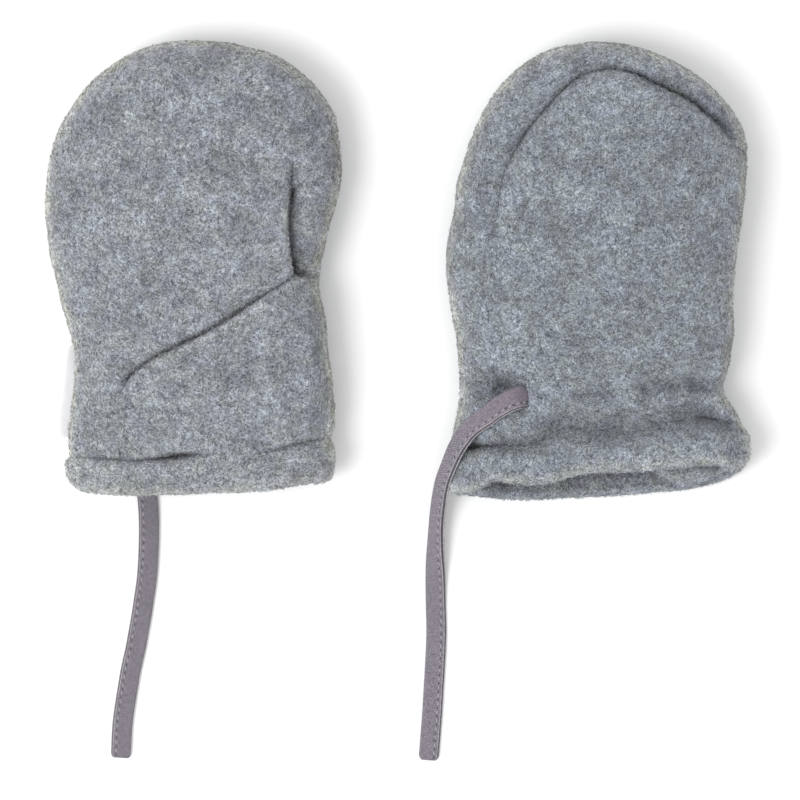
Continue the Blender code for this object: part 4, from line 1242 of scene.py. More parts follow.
@dataclass
class Nap:
    """The short fibres that stand on the fleece, thin bent spindles that lie every way."""

    density: float = 2.75  # fibres for each square millimetre of cloth that shows
    length: float = 1.35
    thickness: float = 0.18
    bow: float = 0.22
    lie: float = 0.42  # how steeply a fibre may stand, in radians
    roll: float = 1.2  # how far it may turn round its own length

    def tree(self) -> Tree:
        """Make the tree that grows fibres over a sheet, more where its nap value is high.

        Returns:
            The tree.
        """
        bench, value = new_tree("nap", ["Density", "Length", "Thickness", "Bow", "Lie"], ["Seed"])
        nap = bench.out("GeometryNodeInputNamedAttribute", {"Name": "nap"}, data_type="FLOAT")
        local = bench.times(value["Density"], nap)
        inputs = {"Mesh": value["Geometry"], "Density": local, "Seed": value["Seed"]}
        points = bench.add("GeometryNodeDistributePointsOnFaces", inputs, distribute_method="RANDOM").outputs
        height = bench.add("ShaderNodeSeparateXYZ", {0: bench.out("GeometryNodeInputPosition")}).outputs[2]
        middle = bench.math("LESS_THAN", bench.math("ABSOLUTE", height), bench.times(value["Length"], 0.1))
        push = bench.vector(value["Bow"])
        inputs = {"Geometry": spindle(bench, value, 3, 2), "Selection": middle, "Offset": push}
        bent = bench.out("GeometryNodeSetPosition", inputs)
        lying = bench.out("GeometryNodeTransform", {"Geometry": bent, "Rotation": (0.0, -math.pi / 2, 0.0)})
        shift = bench.vector(bench.times(value["Length"], 0.3))
        rooted = bench.out("GeometryNodeTransform", {"Geometry": lying, "Translation": shift})
        least = bench.vector(-self.roll, bench.times(value["Lie"], -1.0))
        angles = self.random(bench, "FLOAT_VECTOR", least, bench.vector(self.roll, 0.02, 2 * math.pi), 11)
        thick = self.random(bench, "FLOAT", 0.65, 1.3, 12)
        inputs = {
            "Points": points["Points"],
            "Instance": rooted,
            "Rotation": turned(bench, points["Rotation"], angles, "LOCAL"),
            "Scale": bench.vector(self.random(bench, "FLOAT", 0.5, 1.5, 13), thick, thick),
        }
        fibres = bench.out("GeometryNodeInstanceOnPoints", inputs)
        inputs = {"Geometry": fibres, "Name": "tone", "Value": self.random(bench, "FLOAT", 0.0, 1.0, 14)}
        toned = bench.out("GeometryNodeStoreNamedAttribute", inputs, data_type="FLOAT", domain="INSTANCE")
        return end_tree(bench, toned, value["Finish"])

    def random(self, bench: Bench, kind: str, low: object, high: object, seed: int) -> Socket:
        """Add a random value.

        Args:
            bench: The tree's bench.
            kind: FLOAT or FLOAT_VECTOR.
            low: Its least value.
            high: Its greatest value.
            seed: Its seed.

        Returns:
            The socket that holds the value.
        """
        first, result = (0, 0) if kind == "FLOAT_VECTOR" else (2, 1)
        inputs = {first: low, first + 1: high, 8: seed}
        return bench.add("FunctionNodeRandomValue", inputs, data_type=kind).outputs[result]

    def grow(self, cloth: Piece, tree: Tree, finish: Material, seed: int) -> Piece:
        """Grow the fibres of one sheet.

        Args:
            cloth: The sheet, which has a nap value at each point.
            tree: The nap's tree.
            finish: The fibres' finish.
            seed: Seed for their places.

        Returns:
            The fibres as one piece.
        """
        sizes = {"Length": self.length, "Thickness": self.thickness, "Bow": self.bow}
        values = {name: size * MM for name, size in sizes.items()}
        values |= {"Density": self.density / MM**2, "Lie": self.lie, "Seed": seed, "Finish": finish}
        obj = grown(cloth.name.replace("_cloth", "_nap"), cloth.data, tree, values)
        LOG.info("%s: %d faces", obj.name, len(obj.data.polygons))
        return obj


@dataclass
class Cloth:
    """A sheet of fleece made ready: its points, faces, edges drawn in and rolled down."""

    roll_depth: float = 0.75
    roll_width: float = 1.7
    rim_place: float = 1.6  # how far from a crisp border its painted highlight lies
    rim_width: float = 0.8

    def roll_reach(self, crisp: Array) -> Array:
        """Give over what distance a border rolls down."""
        return self.roll_width * (0.65 + 0.35 * crisp)

    def make(
        self,
        name: str,
        outer: Array,
        inner: Array,
        faces: Sequence[Face],
        crisp: Array,
        x: float,
        finish: Material,
        nap: Callable[[Array], Array],
        rim_share: float,
        shade: Array,
    ) -> Piece:
        """Make the sheet with its wall.

        Args:
            name: The piece's name.
            outer: Its outer points.
            inner: Its inner points, in the same order.
            faces: Faces over the outer points, facing out.
            crisp: How far the border rolls in at each point, of which the border's own count.
            x: Where the mitten's middle line lies.
            finish: Its finish.
            nap: Gives how thickly fibres stand at each outer point.
            rim_share: How much the painted highlight pales and warms it along its crisp borders.
            shade: How much painted shade darkens each point, below zero where painted light pales it.

        Returns:
            The piece.
        """
        order, kept = self.merged(outer, faces)
        outer, inner, crisp = outer[order], inner[order], crisp[order]
        directed = {(face[i - 1], face[i]) for face in kept for i in range(len(face))}
        border = [(a, b) for a, b in directed if (b, a) not in directed]
        outer, inner = self.drawn_in(outer, inner, kept, border, crisp)
        outer, rim = self.rolled(outer, inner, border, crisp)
        count = len(outer)
        solid = list(kept)
        solid += [tuple(count + i for i in reversed(face)) for face in kept]
        solid += [(b, a, count + a, count + b) for a, b in sorted(border)]
        obj = place_mesh(name, np.vstack([outer, inner]), solid, x, finish)
        obj.data.set_sharp_from_angle(angle=CLOTH_SHARP)
        set_values(obj, "nap", np.concatenate([nap(outer), np.zeros(count)]))
        # inner faces are marked for their painted shade
        set_values(obj, "inner", np.repeat([0.0, 1.0], count))
        # painted highlight along crisp borders, painted shade in seams, creases and under the lower palm
        # piece
        rim = np.maximum(np.maximum(rim, 0.0) * rim_share + np.minimum(rim, 0.0) - shade[order], -1.0)
        set_values(obj, "rim", np.concatenate([rim, np.zeros(count)]))
        LOG.info("%s: %d faces", name, len(solid))
        return obj

    def merged(self, outer: Array, faces: Sequence[Face]) -> tuple[list[int], list[Face]]:
        """Join points that lie on each other, and drop the faces that this closes.

        Args:
            outer: The points.
            faces: Faces over them.

        Returns:
            Which points stay, and the faces over those.
        """
        keys: dict[tuple[float, ...], int] = {}
        joined = [keys.setdefault(tuple(point), len(keys)) for point in np.round(outer, 3).tolist()]
        first = {new: old for old, new in reversed(list(enumerate(joined)))}
        kept = []
        for face in faces:
            corners = [joined[i] for i in face]
            corners = [c for i, c in enumerate(corners) if c != corners[i - 1]]
            if len(corners) > 2:
                kept.append(tuple(corners))
        return [first[i] for i in range(len(keys))], kept

    def drawn_in(
        self, outer: Array, inner: Array, faces: list[Face], border: list[tuple[int, int]], crisp: Array
    ) -> tuple[Array, Array]:
        """Move the border into the sheet by half the seam's gap, on both sides of the wall.

        Args:
            outer: The outer points.
            inner: The inner points.
            faces: Faces over them.
            border: The border's edges.
            crisp: How crisp the border is at each point.

        Returns:
            The new outer and inner points.
        """
        pulls: dict[int, Array] = {}
        on_border = {i for edge in border for i in edge}
        for face in faces:
            held = [i for i in face if i in on_border]
            if held:
                centre = outer[list(face)].mean(axis=0)
                for i in held:
                    pulls[i] = pulls.get(i, 0.0) + centre - outer[i]
        outer, inner = outer.copy(), inner.copy()
        for i, pull in pulls.items():
            move = unit(pull) * half_gap(crisp[i])
            outer[i] += move
            inner[i] += move
        return outer, inner

    def rolled(
        self, outer: Array, inner: Array, border: list[tuple[int, int]], crisp: Array
    ) -> tuple[Array, Array]:
        """Turn the outer surface down towards the border, where that is crisp.

        Args:
            outer: The outer points.
            inner: The inner points.
            border: The border's edges.
            crisp: How crisp the border is at each point.

        Returns:
            The new outer points and how each is toned: painted highlight above zero on the rim, painted shade
            below zero in the seam.
        """
        rows = np.array(sorted({i for pair in border for i in pair}))
        away, near = np.empty(len(outer)), np.empty(len(outer), dtype=int)
        for start in range(0, len(outer), CHUNK):
            some = slice(start, start + CHUNK)
            part = np.linalg.norm(outer[some, None, :] - outer[rows][None, :, :], axis=2)
            near[some], away[some] = np.argmin(part, axis=1), np.min(part, axis=1)
        strength = crisp[rows][near]
        down = self.roll_depth * strength * np.clip(1 - away / self.roll_reach(strength), 0.0, 1.0) ** 2.4
        rim = np.minimum(strength, 1.0) * bell((away - self.rim_place) / self.rim_width)
        return outer + unit(inner - outer) * down[:, None], rim - hollow_share(strength, away)


@dataclass
class Drawstring:
    """A folded flat tape: a fold along one edge, two open layers along the other, and stitches."""

    side: str
    x: float
    rows: Rows
    open_side: int  # 1 where the open edge is on the left as the tape runs down, -1 on the right
    flare: float = 0.0  # how much wider it is where it comes out
    arch: float = 0.0  # how far its edges bend down where it comes out
    rounding: float = 0.1  # how much of its width both ends lose in their last millimetre
    thickness: float = 1.2
    slit: float = 0.12
    slit_depth: float = 0.9
    layer_step: float = 0.35  # how far the lower layer stands out beyond the upper one
    wobble: float = 0.1  # how far it strays to either side
    stitch_in: float = 1.5  # from the open edge to the stitch line
    stitch_pitch: float = 2.35
    stitch_length: float = 1.15
    stitch_thickness: float = 0.34
    stitch_turn: float = 0.36
    hole_length: float = 0.85
    hole_width: float = 0.5
    spacing: float = 0.7
    flat_steps: int = 8

    def section(self) -> Array:
        """Lay out the section.

        Returns:
            Its points, across and through, round once.
        """
        half, up = TAPE_WIDTH / 2, self.thickness / 2
        layer = (self.thickness - self.slit) / 4
        middle, end = self.slit / 2 + layer, half - self.layer_step
        flat = [k / self.flat_steps for k in range(1, self.flat_steps)]
        points = arc((-half + up, 0.0), up, math.pi / 2)
        points += [(-half + up + (2 * half - up - layer) * t, -up) for t in flat]
        points += arc((half - layer, -middle), layer, -math.pi / 2)
        points.append((half - self.slit_depth, 0.0))
        points += arc((end - layer, middle), layer, -math.pi / 2)
        points += [(end - layer - (half + end - up - layer) * t, up) for t in flat]
        return np.array(points) * (self.open_side, 1.0)

    def frames(self) -> tuple[Array, Array, Array]:
        """Follow the middle line.

        Returns:
            Its points, the direction across, longer where the tape flares, and the one through.
        """
        path = route_through(self.rows, self.spacing)
        points, rolls = path[:, :3], np.radians(path[:, 3])[:, None]
        ahead = unit(np.gradient(points, axis=0))
        across = unit(np.cross(ahead, (0.0, 0.0, 1.0)))
        lift = np.cross(across, ahead)
        wide = across * np.cos(rolls) + lift * np.sin(rolls)
        run = np.arange(len(points)) * self.spacing
        ends = bell(run / 1.1) + bell((run[-1] - run) / 0.6)
        flare = 1 + self.flare * np.exp(-run / 4.5) - self.rounding * ends
        return points, wide * flare[:, None], lift * np.cos(rolls) - across * np.sin(rolls)

    def build(self, tape: Material, thread: Material, hole: Material, stitches: Tree) -> None:
        """Make the tape and its stitches, tie them to the frame and hide the solid.

        Args:
            tape: The tape's finish.
            thread: The thread's finish.
            hole: The finish of the dark beads that paint the shade in the needle holes between the stitches.
            stitches: The tree that sets stitches along a line.
        """
        points, wide, thick = self.frames()
        section = self.section()
        points = points + wide * (self.wobble * ripple(points, 9.0, 5)[:, None])
        arch = self.arch * bell(np.arange(len(points)) * self.spacing / 3.0)
        bend = (section[:, :1] / (TAPE_WIDTH / 2)) ** 2
        rows = zip(points, wide, thick, arch)
        verts = np.vstack([p + w * section[:, :1] + t * (section[:, 1:] - a * bend) for p, w, t, a in rows])
        obj = place_mesh(self.side + "_tape", verts, tube_faces(len(points), len(section)), self.x, tape)
        face_out(obj)
        self.map_run(obj, section)
        obj.data.set_sharp_from_angle(angle=TAPE_SHARP)
        aside = self.open_side * (TAPE_WIDTH / 2 - self.stitch_in)
        line = points + wide * aside + thick * self.thickness / 2
        bead = {"Length": self.stitch_length * MM, "Thickness": self.stitch_thickness * MM}
        bead |= {"Turn": self.stitch_turn, "Finish": thread}
        # dark beads in the needle holes between the stitches are painted shade
        pit = {"Length": self.hole_length * MM, "Thickness": self.hole_width * MM}
        pit |= {"Shift": self.stitch_pitch / 2 * MM, "Finish": hole}
        row = self.stitch_row("_tape_stitches", line + thick * 0.02, stitches, bead)
        holes = self.stitch_row("_tape_holes", line - thick * 0.14, stitches, pit)
        for piece in (obj, row, holes):
            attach(piece, BODY)
        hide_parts(self.side + "_drawstring")

    def map_run(self, obj: Piece, section: Array) -> None:
        """Give the tape a map in millimetres: along its run, and across it to its open edge.

        Args:
            obj: The tape.
            section: Its section.
        """
        layer = obj.data.uv_layers.new(name="run")
        for loop in obj.data.loops:
            row, column = divmod(loop.vertex_index, len(section))
            layer.data[loop.index].uv = (row * self.spacing, section[column][0] * self.open_side)

    def stitch_row(self, name: str, line: Array, tree: Tree, values: dict[str, object]) -> Piece:
        """Set beads along a line on the tape, and none at its very ends.

        Args:
            name: The end of the new piece's name.
            line: The line's points.
            tree: The tree that sets them.
            values: Its inputs, apart from the pitch.

        Returns:
            The beads as one piece.
        """
        mesh = bpy.data.meshes.new("stitch_line")
        places = ((line[2:-3] + (self.x, DEPTH_Y, 0.0)) * MM).tolist()
        mesh.from_pydata(places, [(i, i + 1) for i in range(len(places) - 1)], [])
        return grown(self.side + name, mesh, tree, {"Pitch": self.stitch_pitch * MM, **values})


def stitch_tree() -> Tree:
    """Make the tree that sets stitches, each a small bead along its run, a little askew.

    Returns:
        The tree.
    """
    bench, value = new_tree("stitches", ["Pitch", "Length", "Thickness", "Shift", "Turn"])
    curve = bench.out("GeometryNodeMeshToCurve", {"Mesh": value["Geometry"]})
    even = bench.out("GeometryNodeResampleCurve", {"Curve": curve, "Length": value["Pitch"]}, mode="LENGTH")
    along = bench.out("GeometryNodeInputTangent")
    shift = bench.scaled(along, value["Shift"])
    moved = bench.out("GeometryNodeSetPosition", {"Geometry": even, "Offset": shift})
    aligned = bench.out("FunctionNodeAlignRotationToVector", {"Vector": along}, axis="Z")
    askew = turned(bench, aligned, bench.vector(z=value["Turn"]), "GLOBAL")
    inputs = {"Points": moved, "Instance": spindle(bench, value, 8, 6), "Rotation": askew}
    return end_tree(bench, bench.out("GeometryNodeInstanceOnPoints", inputs), value["Finish"])


@dataclass
class SideLabel:
    """The blank white label: a ribbon folded over, sewn into the plain side of the left mitten."""

    form: MittenForm
    x: float
    thickness: float = 0.9
    sewn_in: float = 1.2  # how far it reaches into the mitten's side
    flat: tuple[float, float] = (0.0262, 0.0104)  # in metres
    seen: float = 0.62  # share of its flat size that shows
    steps: int = 60
    across: int = 14

    def build(self, finish: Material) -> None:
        """Make the label, tie it to the frame and hide its solid.

        Args:
            finish: Its finish.
        """
        rows = np.linspace(LABEL_OUTER[0][0], LABEL_OUTER[-1][0], self.steps)
        level = EDGE_LEVEL * read(self.form.heights, rows)
        verts = []
        for y, far, near, z in zip(rows, read(LABEL_OUTER, rows), self.form.sides(rows)[0], level):
            start = near + self.sewn_in
            bend = 0.25 * math.sin(y * 0.21) + 0.12 * math.sin(y * 0.63 + 1.0)
            for k in range(2 * self.across):
                share = k / self.across if k < self.across else 2.0 - k / self.across
                swell = math.sqrt(max(1.0 - share**6, 0.0)) if share < 1.0 else 0.0
                up = self.thickness / 2 * max(swell, 0.12) * (1 if k < self.across else -1)
                verts.append((start + (far - start) * share, y, z + up + bend * share))
        faces = tube_faces(len(rows), 2 * self.across)
        obj = place_mesh("left_label", np.array(verts), faces, self.x, finish)
        face_out(obj)
        obj.data.set_sharp_from_angle(angle=LABEL_SHARP)
        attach(obj, BODY)
        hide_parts("left_side_label")


@dataclass(frozen=True)
class Cut:
    """The flat cut of one piece of cloth, in metres, and its area in square metres."""

    width: float
    length: float
    area: float


@dataclass
class Mitten:
    """One mitten's cloth: two panels, the lower palm piece, the hem and their nap."""

    side: str
    form: MittenForm
    x: float
    edge_top: Rows
    edge_foot: Rows
    hem_reach: tuple[float, float]
    cloth: Material
    fibres: Material
    nap_tree: Tree
    cuts: dict[str, Cut]
    nap: Nap = field(default_factory=Nap)
    sewn: Cloth = field(default_factory=Cloth)
    back_columns: int = 92
    palm_columns: int = 116
    flap_columns: int = 56
    flap_rows: int = 46
    hem_columns: int = 220
    hem_run: int = 12  # points over the hem, and the same number inside it
    hem_lip: int = 9  # points round its lip
    ragged: float = 0.15  # how uneven its upper lip is
    pale_lip: float = 0.5  # how pale the painted highlight makes that lip
    pale_hem: float = 0.0  # how pale painted light makes the hem as a whole
    mouth_fold: float = 0.0  # how high a second layer lies at the right inside the mouth
    pale_edge: float = 0.34  # how pale the painted highlight makes the crisp borders of what shows on the palm
    underside: float = 0.25  # how thickly the underside is covered, against the upper side
    bare_rise: float = 0.5  # how far above the cuff's underside the lowest fibres stand
    bare_height: float = 0.9  # and above the floor
    nap_ease: float = 5.0  # height over which the nap becomes full
    close_from: float = 116.0  # y from which a panel's rows lie closer and closer
    top_rows: int = 16  # rows from there to the seam's top
    tip_rows: int = 12  # and from the seam's top to the tip
    edge_squeeze: float = 0.72  # how much closer a panel's columns lie at both edges
    edge_share: float = 0.05  # and over what share of its width
    mouth_start: float = 3.4  # from how far inside the lip the mouth has painted shade
    mouth_ease: float = 3.0  # over what distance the painted shade becomes full

    def nap_of(self, points: Array) -> Array:
        """Work out how thickly fibres stand: fully above, thinly low down, not on the floor.

        Args:
            points: Places on the cloth.

        Returns:
            The nap value at each.
        """
        rise = points[:, 2] - self.form.lift
        covered = self.underside + (1 - self.underside) * smooth_step(rise / self.nap_ease)
        return np.where((rise < self.bare_rise) | (points[:, 2] < self.bare_height), 0.0, covered)

    def stations(self, highest: float) -> list[float | None]:
        """Choose y of a panel's rows: even, and closer towards the seam's top and the tip.

        Args:
            highest: Where the panel ends.

        Returns:
            The y of each row, and None for the first, which lies on the crease.
        """
        low, bend = self.form.crease_mean, self.close_from
        rows: list[float | None] = [None]
        rows += list(np.linspace(low + 0.5, low + 3.0, 5))
        rows += list(np.linspace(low + 3.0, bend, int(round((bend - low - 3.0) / GRID)))[1:])
        rows += closer(bend, SEAM_TOP, self.top_rows)
        if highest > SEAM_TOP:
            rows += closer(SEAM_TOP, self.form.tip, self.tip_rows)[:-1]
        return rows

    def spread_columns(self, columns: int) -> Array:
        """Choose shares across a panel: even, and much closer at both edges.

        Args:
            columns: Number of columns.

        Returns:
            The shares, from 0 to 1.
        """
        even = np.linspace(0.0, 1.0, columns + 1)
        middle = (even[1:] + even[:-1]) / 2
        at_edges = np.exp(-middle / self.edge_share) + np.exp((middle - 1) / self.edge_share)
        gaps = 1 - self.edge_squeeze * at_edges
        return np.concatenate([[0.0], np.cumsum(gaps) / gaps.sum()])

    def panel(self, is_back: bool) -> Piece:
        """Make the back panel or the palm panel, from the crease up.

        Args:
            is_back: Whether it is the back panel.

        Returns:
            The panel.
        """
        form = self.form
        columns = self.back_columns if is_back else self.palm_columns
        even = self.spread_columns(columns)
        rows = self.stations(SEAM_TOP if is_back else form.tip)
        rings, ys, crisp = [], [], []
        for station in rows:
            y = min(form.crease_mean if station is None else station, SEAM_TOP)
            ends = [max(float(read(run, y)), 0.0) for run in (LEFT_RUN_CRISP, RIGHT_RUN_CRISP)]
            ends = ends if is_back else [min(end, 1.1) for end in ends[::-1]]
            crisp.append(np.interp(even, (0.0, 1.0), ends))
            left, right = (float(run[0]) for run in form.seam_ring(np.array([y])))
            start, end = (left, right) if is_back else (right, left + 4.0)
            past_side = max((end if is_back else start) - 2.0, 0.0)
            if is_back:
                ring = start + (end - past_side - start) * even + past_side * even**END_SHIFT_POWER
            else:
                start -= past_side
                ring = start + (end - start) * even + past_side * (1 - even) ** END_SHIFT_POWER
            rings.append(ring)
            ys.append(form.row_y(ring, station))
        crisp[0] = form.dip_crisp(rings[0])
        outer, inner, shade = form.sheet(np.concatenate(rings), np.concatenate(ys), WALL, True, not is_back)
        faces = grid_faces(len(rows), columns + 1)
        if not is_back:
            left, right = form.sides(form.tip)
            tip = np.array([[float(left + right) / 2, form.tip, EDGE_LEVEL * form.heights[-1][1]]])
            start = (len(rows) - 1) * (columns + 1)
            faces.extend([(start + c, start + c + 1, len(outer)) for c in range(columns)])
            outer = np.vstack([outer, tip])
            inner = np.vstack([inner, tip - (0.0, WALL, 0.0)])
            crisp.append([0.0])
            shade = np.append(shade, 0.0)
        # painted highlight along the crisp borders that show on the palm
        rim = self.pale_edge if form.palm_up and not is_back else 0.0
        name = "_back_cloth" if is_back else "_palm_cloth"
        return self.sew(name, outer, inner, faces, np.concatenate(crisp), rim, shade)

    def lower_palm(self) -> Piece:
        """Make the lower palm piece, which lies over the palm panel.

        Returns:
            The piece.
        """
        form = self.form
        rings, ys = [], []
        for q in np.linspace(0.0, 1.0, self.flap_rows + 1):
            end_y = FLAP_END[-1][0] + (FLAP_END[0][0] - FLAP_END[-1][0]) * q
            ring = np.linspace(form.flap_stop, float(form.flap_end_ring(end_y)), self.flap_columns + 1)
            low = form.row_y(ring, None)
            rings.append(ring)
            ys.append(low + (form.flap_top(ring) - low) * q)
        outer, inner, shade, crisp = form.flap_sheet(np.concatenate(rings), np.concatenate(ys))
        crisp[: self.flap_columns + 1] = form.dip_crisp(rings[0])
        faces = grid_faces(self.flap_rows + 1, self.flap_columns + 1)
        return self.sew("_lower_palm_cloth", outer, inner, faces, crisp, self.pale_edge, shade)

    def sew(
        self, name: str, outer: Array, inner: Array, faces: list[Face], crisp: Array, rim: float, shade: Array
    ) -> Piece:
        """Make one sheet of this mitten.

        Args:
            name: The end of its name.
            outer: Its outer points.
            inner: Its inner points.
            faces: Faces over them, which face out on the mitten that lies back up.
            crisp: How crisp it is at each point.
            rim: How pale the painted highlight makes its crisp borders.
            shade: How much painted shade darkens each point, below zero where painted light pales it.

        Returns:
            The sheet.
        """
        if self.form.palm_up:
            faces = [face[::-1] for face in faces]
        name = self.side + name
        return self.sewn.make(name, outer, inner, faces, crisp, self.x, self.cloth, self.nap_of, rim, shade)

    def hem_section(self, length: Array, crisp: Array) -> tuple[Array, Array, Array]:
        """Lay out the hem's section all round: a run over the top, the lip and a run back inside.

        Args:
            length: Distance from the crease to the lip, for each column.
            crisp: How crisp the crease is there.

        Returns:
            Distance from the crease, height over the plain form and nap, one row for each column.
        """
        round_by = HEM_WALL / 2
        first = half_gap(crisp)
        run = np.linspace(0.0, 1.0, self.hem_run)[None, :] ** 1.3
        over = first[:, None] + (length - round_by - first)[:, None] * run
        swell = HEM_BULGE * np.sin(math.pi * run) ** 2
        rolled = np.clip(1 - over / self.sewn.roll_reach(crisp)[:, None], 0.0, 1.0) ** 2
        angle = np.linspace(math.pi / 2, -math.pi / 2, self.hem_lip + 2)[None, 1:-1]
        lip = (length - round_by)[:, None] + round_by * np.cos(angle)
        lip_height = np.broadcast_to(round_by * (np.sin(angle) - 1), lip.shape)
        height = swell - self.sewn.roll_depth * crisp[:, None] * rolled
        away = np.hstack([over, lip, over[:, ::-1]])
        height = np.hstack([height, lip_height, np.full(over.shape, -HEM_WALL)])
        nap = np.hstack([np.ones(over.shape), np.full(lip.shape, 0.8), np.full(over.shape, 0.3)])
        return away, height, nap

    def hem(self) -> Piece:
        """Make the turned hem: a closed ring of cloth, level with the panels, with an uneven lip.

        Returns:
            The hem.
        """
        form = self.form
        ring = np.arange(self.hem_columns) * 4.0 / self.hem_columns
        share, top, crisp = form.share_of(ring), form.is_top(ring), form.dip_crisp(ring)
        crease_y = form.row_y(ring, None)
        crease, out = form.plain(ring, crease_y), form.normals(ring, crease_y)
        above, beneath = curve_through(self.edge_top, share), curve_through(self.edge_foot, share)
        chosen = np.where(top[:, None], above, beneath)
        middle, half = sum(self.hem_reach) / 2, (self.hem_reach[1] - self.hem_reach[0]) / 2
        edge = np.stack([middle + half * share, chosen[:, 0], chosen[:, 1]], axis=-1)
        unevenness = ripple(edge, 3.6, 3) + 0.6 * ripple(edge, 1.5, 4)
        edge[:, 1] += self.ragged * np.where(top, 1.0, 0.3) * unevenness
        length = np.linalg.norm(edge - crease, axis=1)
        along = unit(edge - crease)
        edge_out = unit(out - along * np.sum(out * along, axis=1)[:, None])
        away, height, nap = self.hem_section(length, crisp)
        count = away.shape[1]
        reach = (away / length[:, None])[..., None]
        facing = unit(out[:, None, :] * (1 - reach) + edge_out[:, None, :] * reach).reshape(-1, 3)
        plain = (crease[:, None, :] + along[:, None, :] * away[..., None]).reshape(-1, 3)
        pressed, shade = form.relief(plain, np.repeat(ring, count), True)
        below = np.where(top[:, None] | (nap > 0.5), 0.0, 1.0)
        doubled = below * self.second_layer(share, plain[:, 1].reshape(-1, count))
        moved = (height - self.mouth_fold * doubled).ravel() + pressed
        points = plain + facing * moved[:, None]
        points[:, 2] = np.maximum(points[:, 2], form.lift)
        faces = grid_faces(self.hem_columns, count, round_rows=True)
        last = (self.hem_columns - 1) * count
        faces += [(last + p, last + (p + 1) % count, (p + 1) % count, p) for p in range(count)]
        obj = place_mesh(self.side + "_hem_cloth", points, faces, self.x, self.cloth)
        face_out(obj)
        obj.data.set_sharp_from_angle(angle=CLOTH_SHARP)
        # painted light pales the outer run of the hem where it turns down
        shade = shade - SIDE_PAINTED_LIGHT * turned_down(facing) * (nap.ravel() > 0.5)
        # painted shade in the mouth, close under the lip; where the second layer lies it is painted lighter,
        # as lit
        below_lip = points[:, 1].reshape(-1, count) - above[:, :1]
        close = smooth_step((below_lip + self.mouth_start) / self.mouth_ease)
        mouth = np.clip(curve_through(MOUTH_SHADE, share), 0.0, 1.0) * close * below
        lit = doubled * (1 - mouth)
        # painted highlight on the lip and painted light over the hem and the second layer; painted shade in
        # the crease and the mouth
        steps = np.arange(count)[None, :]
        lip = self.pale_lip * bell((steps - self.hem_run - 1.5) / 2.0)
        over = np.where(steps < self.hem_run, 1.0, 0.0)
        dark = (hollow_share(crisp[:, None], away) - self.pale_hem) * over + mouth - 0.3 * lit
        set_values(obj, "nap", self.nap_of(points) * nap.ravel())
        # the inner run takes the painted shade of inner faces, but not where the second layer lies lit
        set_values(obj, "inner", smooth_step((0.9 - nap.ravel()) / 0.5) * (1 - lit.ravel()))
        set_values(obj, "rim", (lip - dark).ravel() - shade)
        return obj

    def second_layer(self, share: Array, y: Array) -> Array | float:
        """Work out where a second layer lies inside the mouth.

        Args:
            share: Share of the half width, for each column.
            y: Distance from the foot, for each column's points.

        Returns:
            From 0 to 1 for each point, and 0 alone where the mitten has no such layer.
        """
        starts = MOUTH_FOLD_SHARE + MOUTH_FOLD_LEAN * (MOUTH_FOLD_Y - y)
        covered = smooth_step((share[:, None] - starts) / 0.04) * smooth_step((1 - share[:, None]) / 0.12)
        return covered if self.mouth_fold else 0.0

    def declare(
        self, cloth: Piece, node: str, seed: int
    ) -> None:
        """Grow a sheet's nap, tie both to the frame and hide the solid that the sheet stands for.

        Args:
            cloth: The sheet.
            node: The solid that it stands for, without the side's name.
            seed: Seed for its fibres.
        """
        fibres = self.nap.grow(cloth, self.nap_tree, self.fibres, seed)
        for piece in (cloth, fibres):
            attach(piece, BODY)
        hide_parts(self.side + "_" + node)

    def build(self) -> None:
        """Make every piece of cloth of this mitten, and then what grows on each."""
        seed, palm_up = self.form.seed, self.form.palm_up
        back, palm, lower, hem = self.panel(True), self.panel(False), self.lower_palm(), self.hem()
        self.declare(back, "back_panel", seed)
        self.declare(palm, "palm_panel", seed + 1)
        self.declare(lower, "lower_palm", seed + 2)
        self.declare(hem, "hem", seed + 3)


@dataclass(frozen=True)
class Studio:
    """The camera above the pair, soft light from the lower left, and the floor."""

    centre: Place = (0.0002, -0.0366, 0.011)
    frame_width: float = 0.228
    distance: float = 1.2
    sensor: float = 36.0
    key_place: Place = (-0.62, -0.3, 0.95)
    key_size: float = 0.7
    key_power: float = 8.5
    sky: float = 0.95
    half_floor: float = 3.0

    def camera(self) -> None:
        """Set the camera straight above, where the photograph was taken from."""
        data = bpy.data.cameras.new("camera")
        data.sensor_width = self.sensor
        data.lens = self.sensor * self.distance / self.frame_width
        data.clip_end = 20.0
        camera = link("camera", data)
        camera.location = (self.centre[0], self.centre[1], self.centre[2] + self.distance)
        bpy.context.scene.camera = camera

    def lights(self) -> None:
        """Set one large soft light and an even sky."""
        data = bpy.data.lights.new("key", "AREA")
        data.shape = "DISK"
        data.size = self.key_size
        data.energy = self.key_power
        key = link("key", data)
        key.location = self.key_place
        aim = Vector(self.centre) - Vector(self.key_place)
        key.rotation_euler = aim.to_track_quat("-Z", "Y").to_euler()
        world = bpy.data.worlds.new("sky")
        world.use_nodes = True
        background = world.node_tree.nodes["Background"]
        background.inputs["Color"].default_value = (*WHITE, 1.0)
        background.inputs["Strength"].default_value = self.sky
        bpy.context.scene.world = world

    def floor(self, finish: Material) -> None:
        """Lay the floor just under the pair.

        Args:
            finish: Its finish.
        """
        mesh = bpy.data.meshes.new("floor")
        half = self.half_floor
        corners = [(-half, -half, 0), (half, -half, 0), (half, half, 0), (-half, half, 0)]
        mesh.from_pydata(corners, [], [(0, 1, 2, 3)])
        mesh.materials.append(finish)
        link("floor", mesh)

    def build(self, finish: Material) -> None:
        """Set up the lights, the floor and plain colours."""
        self.lights()
        self.floor(finish)
        view = bpy.context.scene.view_settings
        view.view_transform = "Standard"
        view.look = "None"


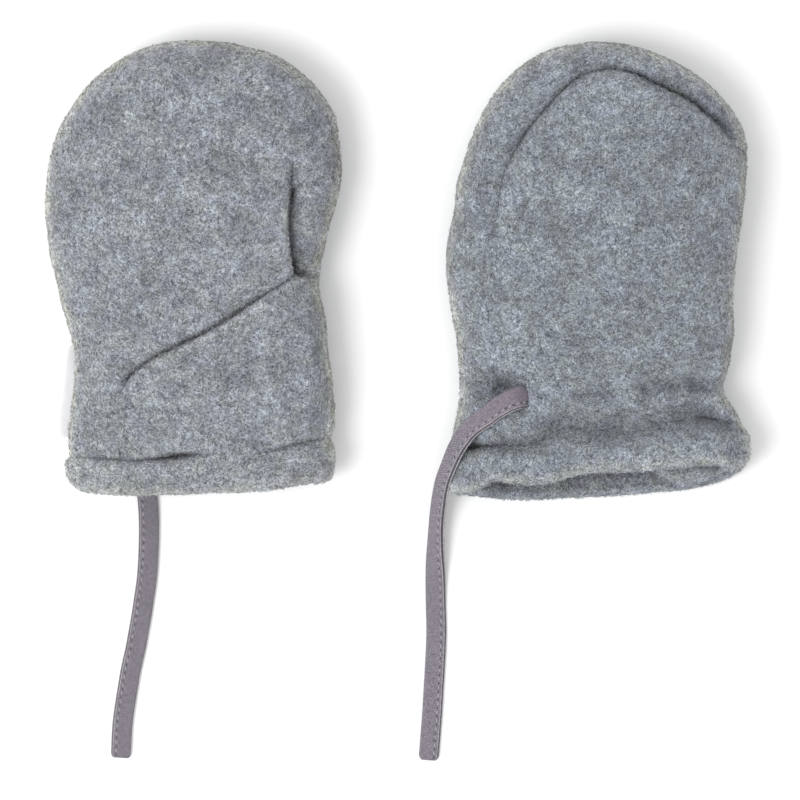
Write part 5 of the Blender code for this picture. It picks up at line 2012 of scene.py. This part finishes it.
LEFT_CUTS = {
    "back_panel": Cut(0.090, 0.112, 0.0081),
    "palm_panel": Cut(0.112, 0.120, 0.0116),
    "lower_palm": Cut(0.066, 0.048, 0.0026),
    "hem": Cut(0.170, 0.0122, 0.0020),
}
RIGHT_CUTS = {
    "back_panel": Cut(0.090, 0.110, 0.0080),
    "palm_panel": Cut(0.112, 0.118, 0.0113),
    "lower_palm": Cut(0.056, 0.046, 0.0021),
    "hem": Cut(0.176, 0.0168, 0.0028),
}


def main() -> None:
    """Build the camera, the tapes, both mittens, the label and the studio, in that order."""
    logging.basicConfig(level=logging.INFO, format="%(message)s")
    studio = Studio()
    studio.camera()
    left_weave = TapeFinish().material("left_tape")
    right_weave = TapeFinish((0.207, 0.188, 0.219)).material("right_tape")
    sewing = (
        ThreadFinish().material("thread"),
        # dark beads painted as the shade in the needle holes
        ThreadFinish((0.05, 0.045, 0.055)).material("needle_hole_shade"),
        stitch_tree(),
    )
    left_tape = Drawstring("left", LEFT_X, LEFT_TAPE, 1, rounding=0.22)
    left_tape.build(left_weave, *sewing)
    right_tape = Drawstring("right", RIGHT_X, RIGHT_TAPE, -1, flare=0.3, arch=1.7, rounding=0.3)
    right_tape.build(right_weave, *sewing)
    left_form = MittenForm(
        Side.PALM, LEFT_SECTIONS, LEFT_HEIGHTS, LEFT_CREASE_TOP, LEFT_CREASE_FOOT, LEFT_DIP,
        2.0, LEFT_FLAP_STOP, LEFT_CREASES, 3,
    )  # fmt: skip
    right_form = MittenForm(
        Side.BACK, RIGHT_SECTIONS, RIGHT_HEIGHTS, RIGHT_CREASE_TOP, RIGHT_CREASE_FOOT, RIGHT_DIP,
        0.0, RIGHT_FLAP_STOP, RIGHT_CREASES, 13,
    )  # fmt: skip
    left_fleece = FleeceFinish((0.112, 0.123, 0.14), (0.454, 0.484, 0.527))
    right_fleece = FleeceFinish((0.106, 0.12, 0.141), (0.43, 0.464, 0.514))
    tree = Nap().tree()
    Mitten(
        "left", left_form, LEFT_X, LEFT_EDGE_TOP, LEFT_EDGE_FOOT, LEFT_HEM_REACH,
        left_fleece.material("left_fleece"), left_fleece.fibre_material("left_fibres"), tree, LEFT_CUTS,
        pale_hem=0.17,
    ).build()  # fmt: skip
    Mitten(
        "right", right_form, RIGHT_X, RIGHT_EDGE_TOP, RIGHT_EDGE_FOOT, RIGHT_HEM_REACH,
        right_fleece.material("right_fleece"), right_fleece.fibre_material("right_fibres"), tree, RIGHT_CUTS,
        mouth_fold=1.2,
    ).build()  # fmt: skip
    SideLabel(left_form, LEFT_X).build(LabelFinish().material("label"))
    studio.build(FloorFinish().material("floor"))


if __name__ == "__main__":
    main()
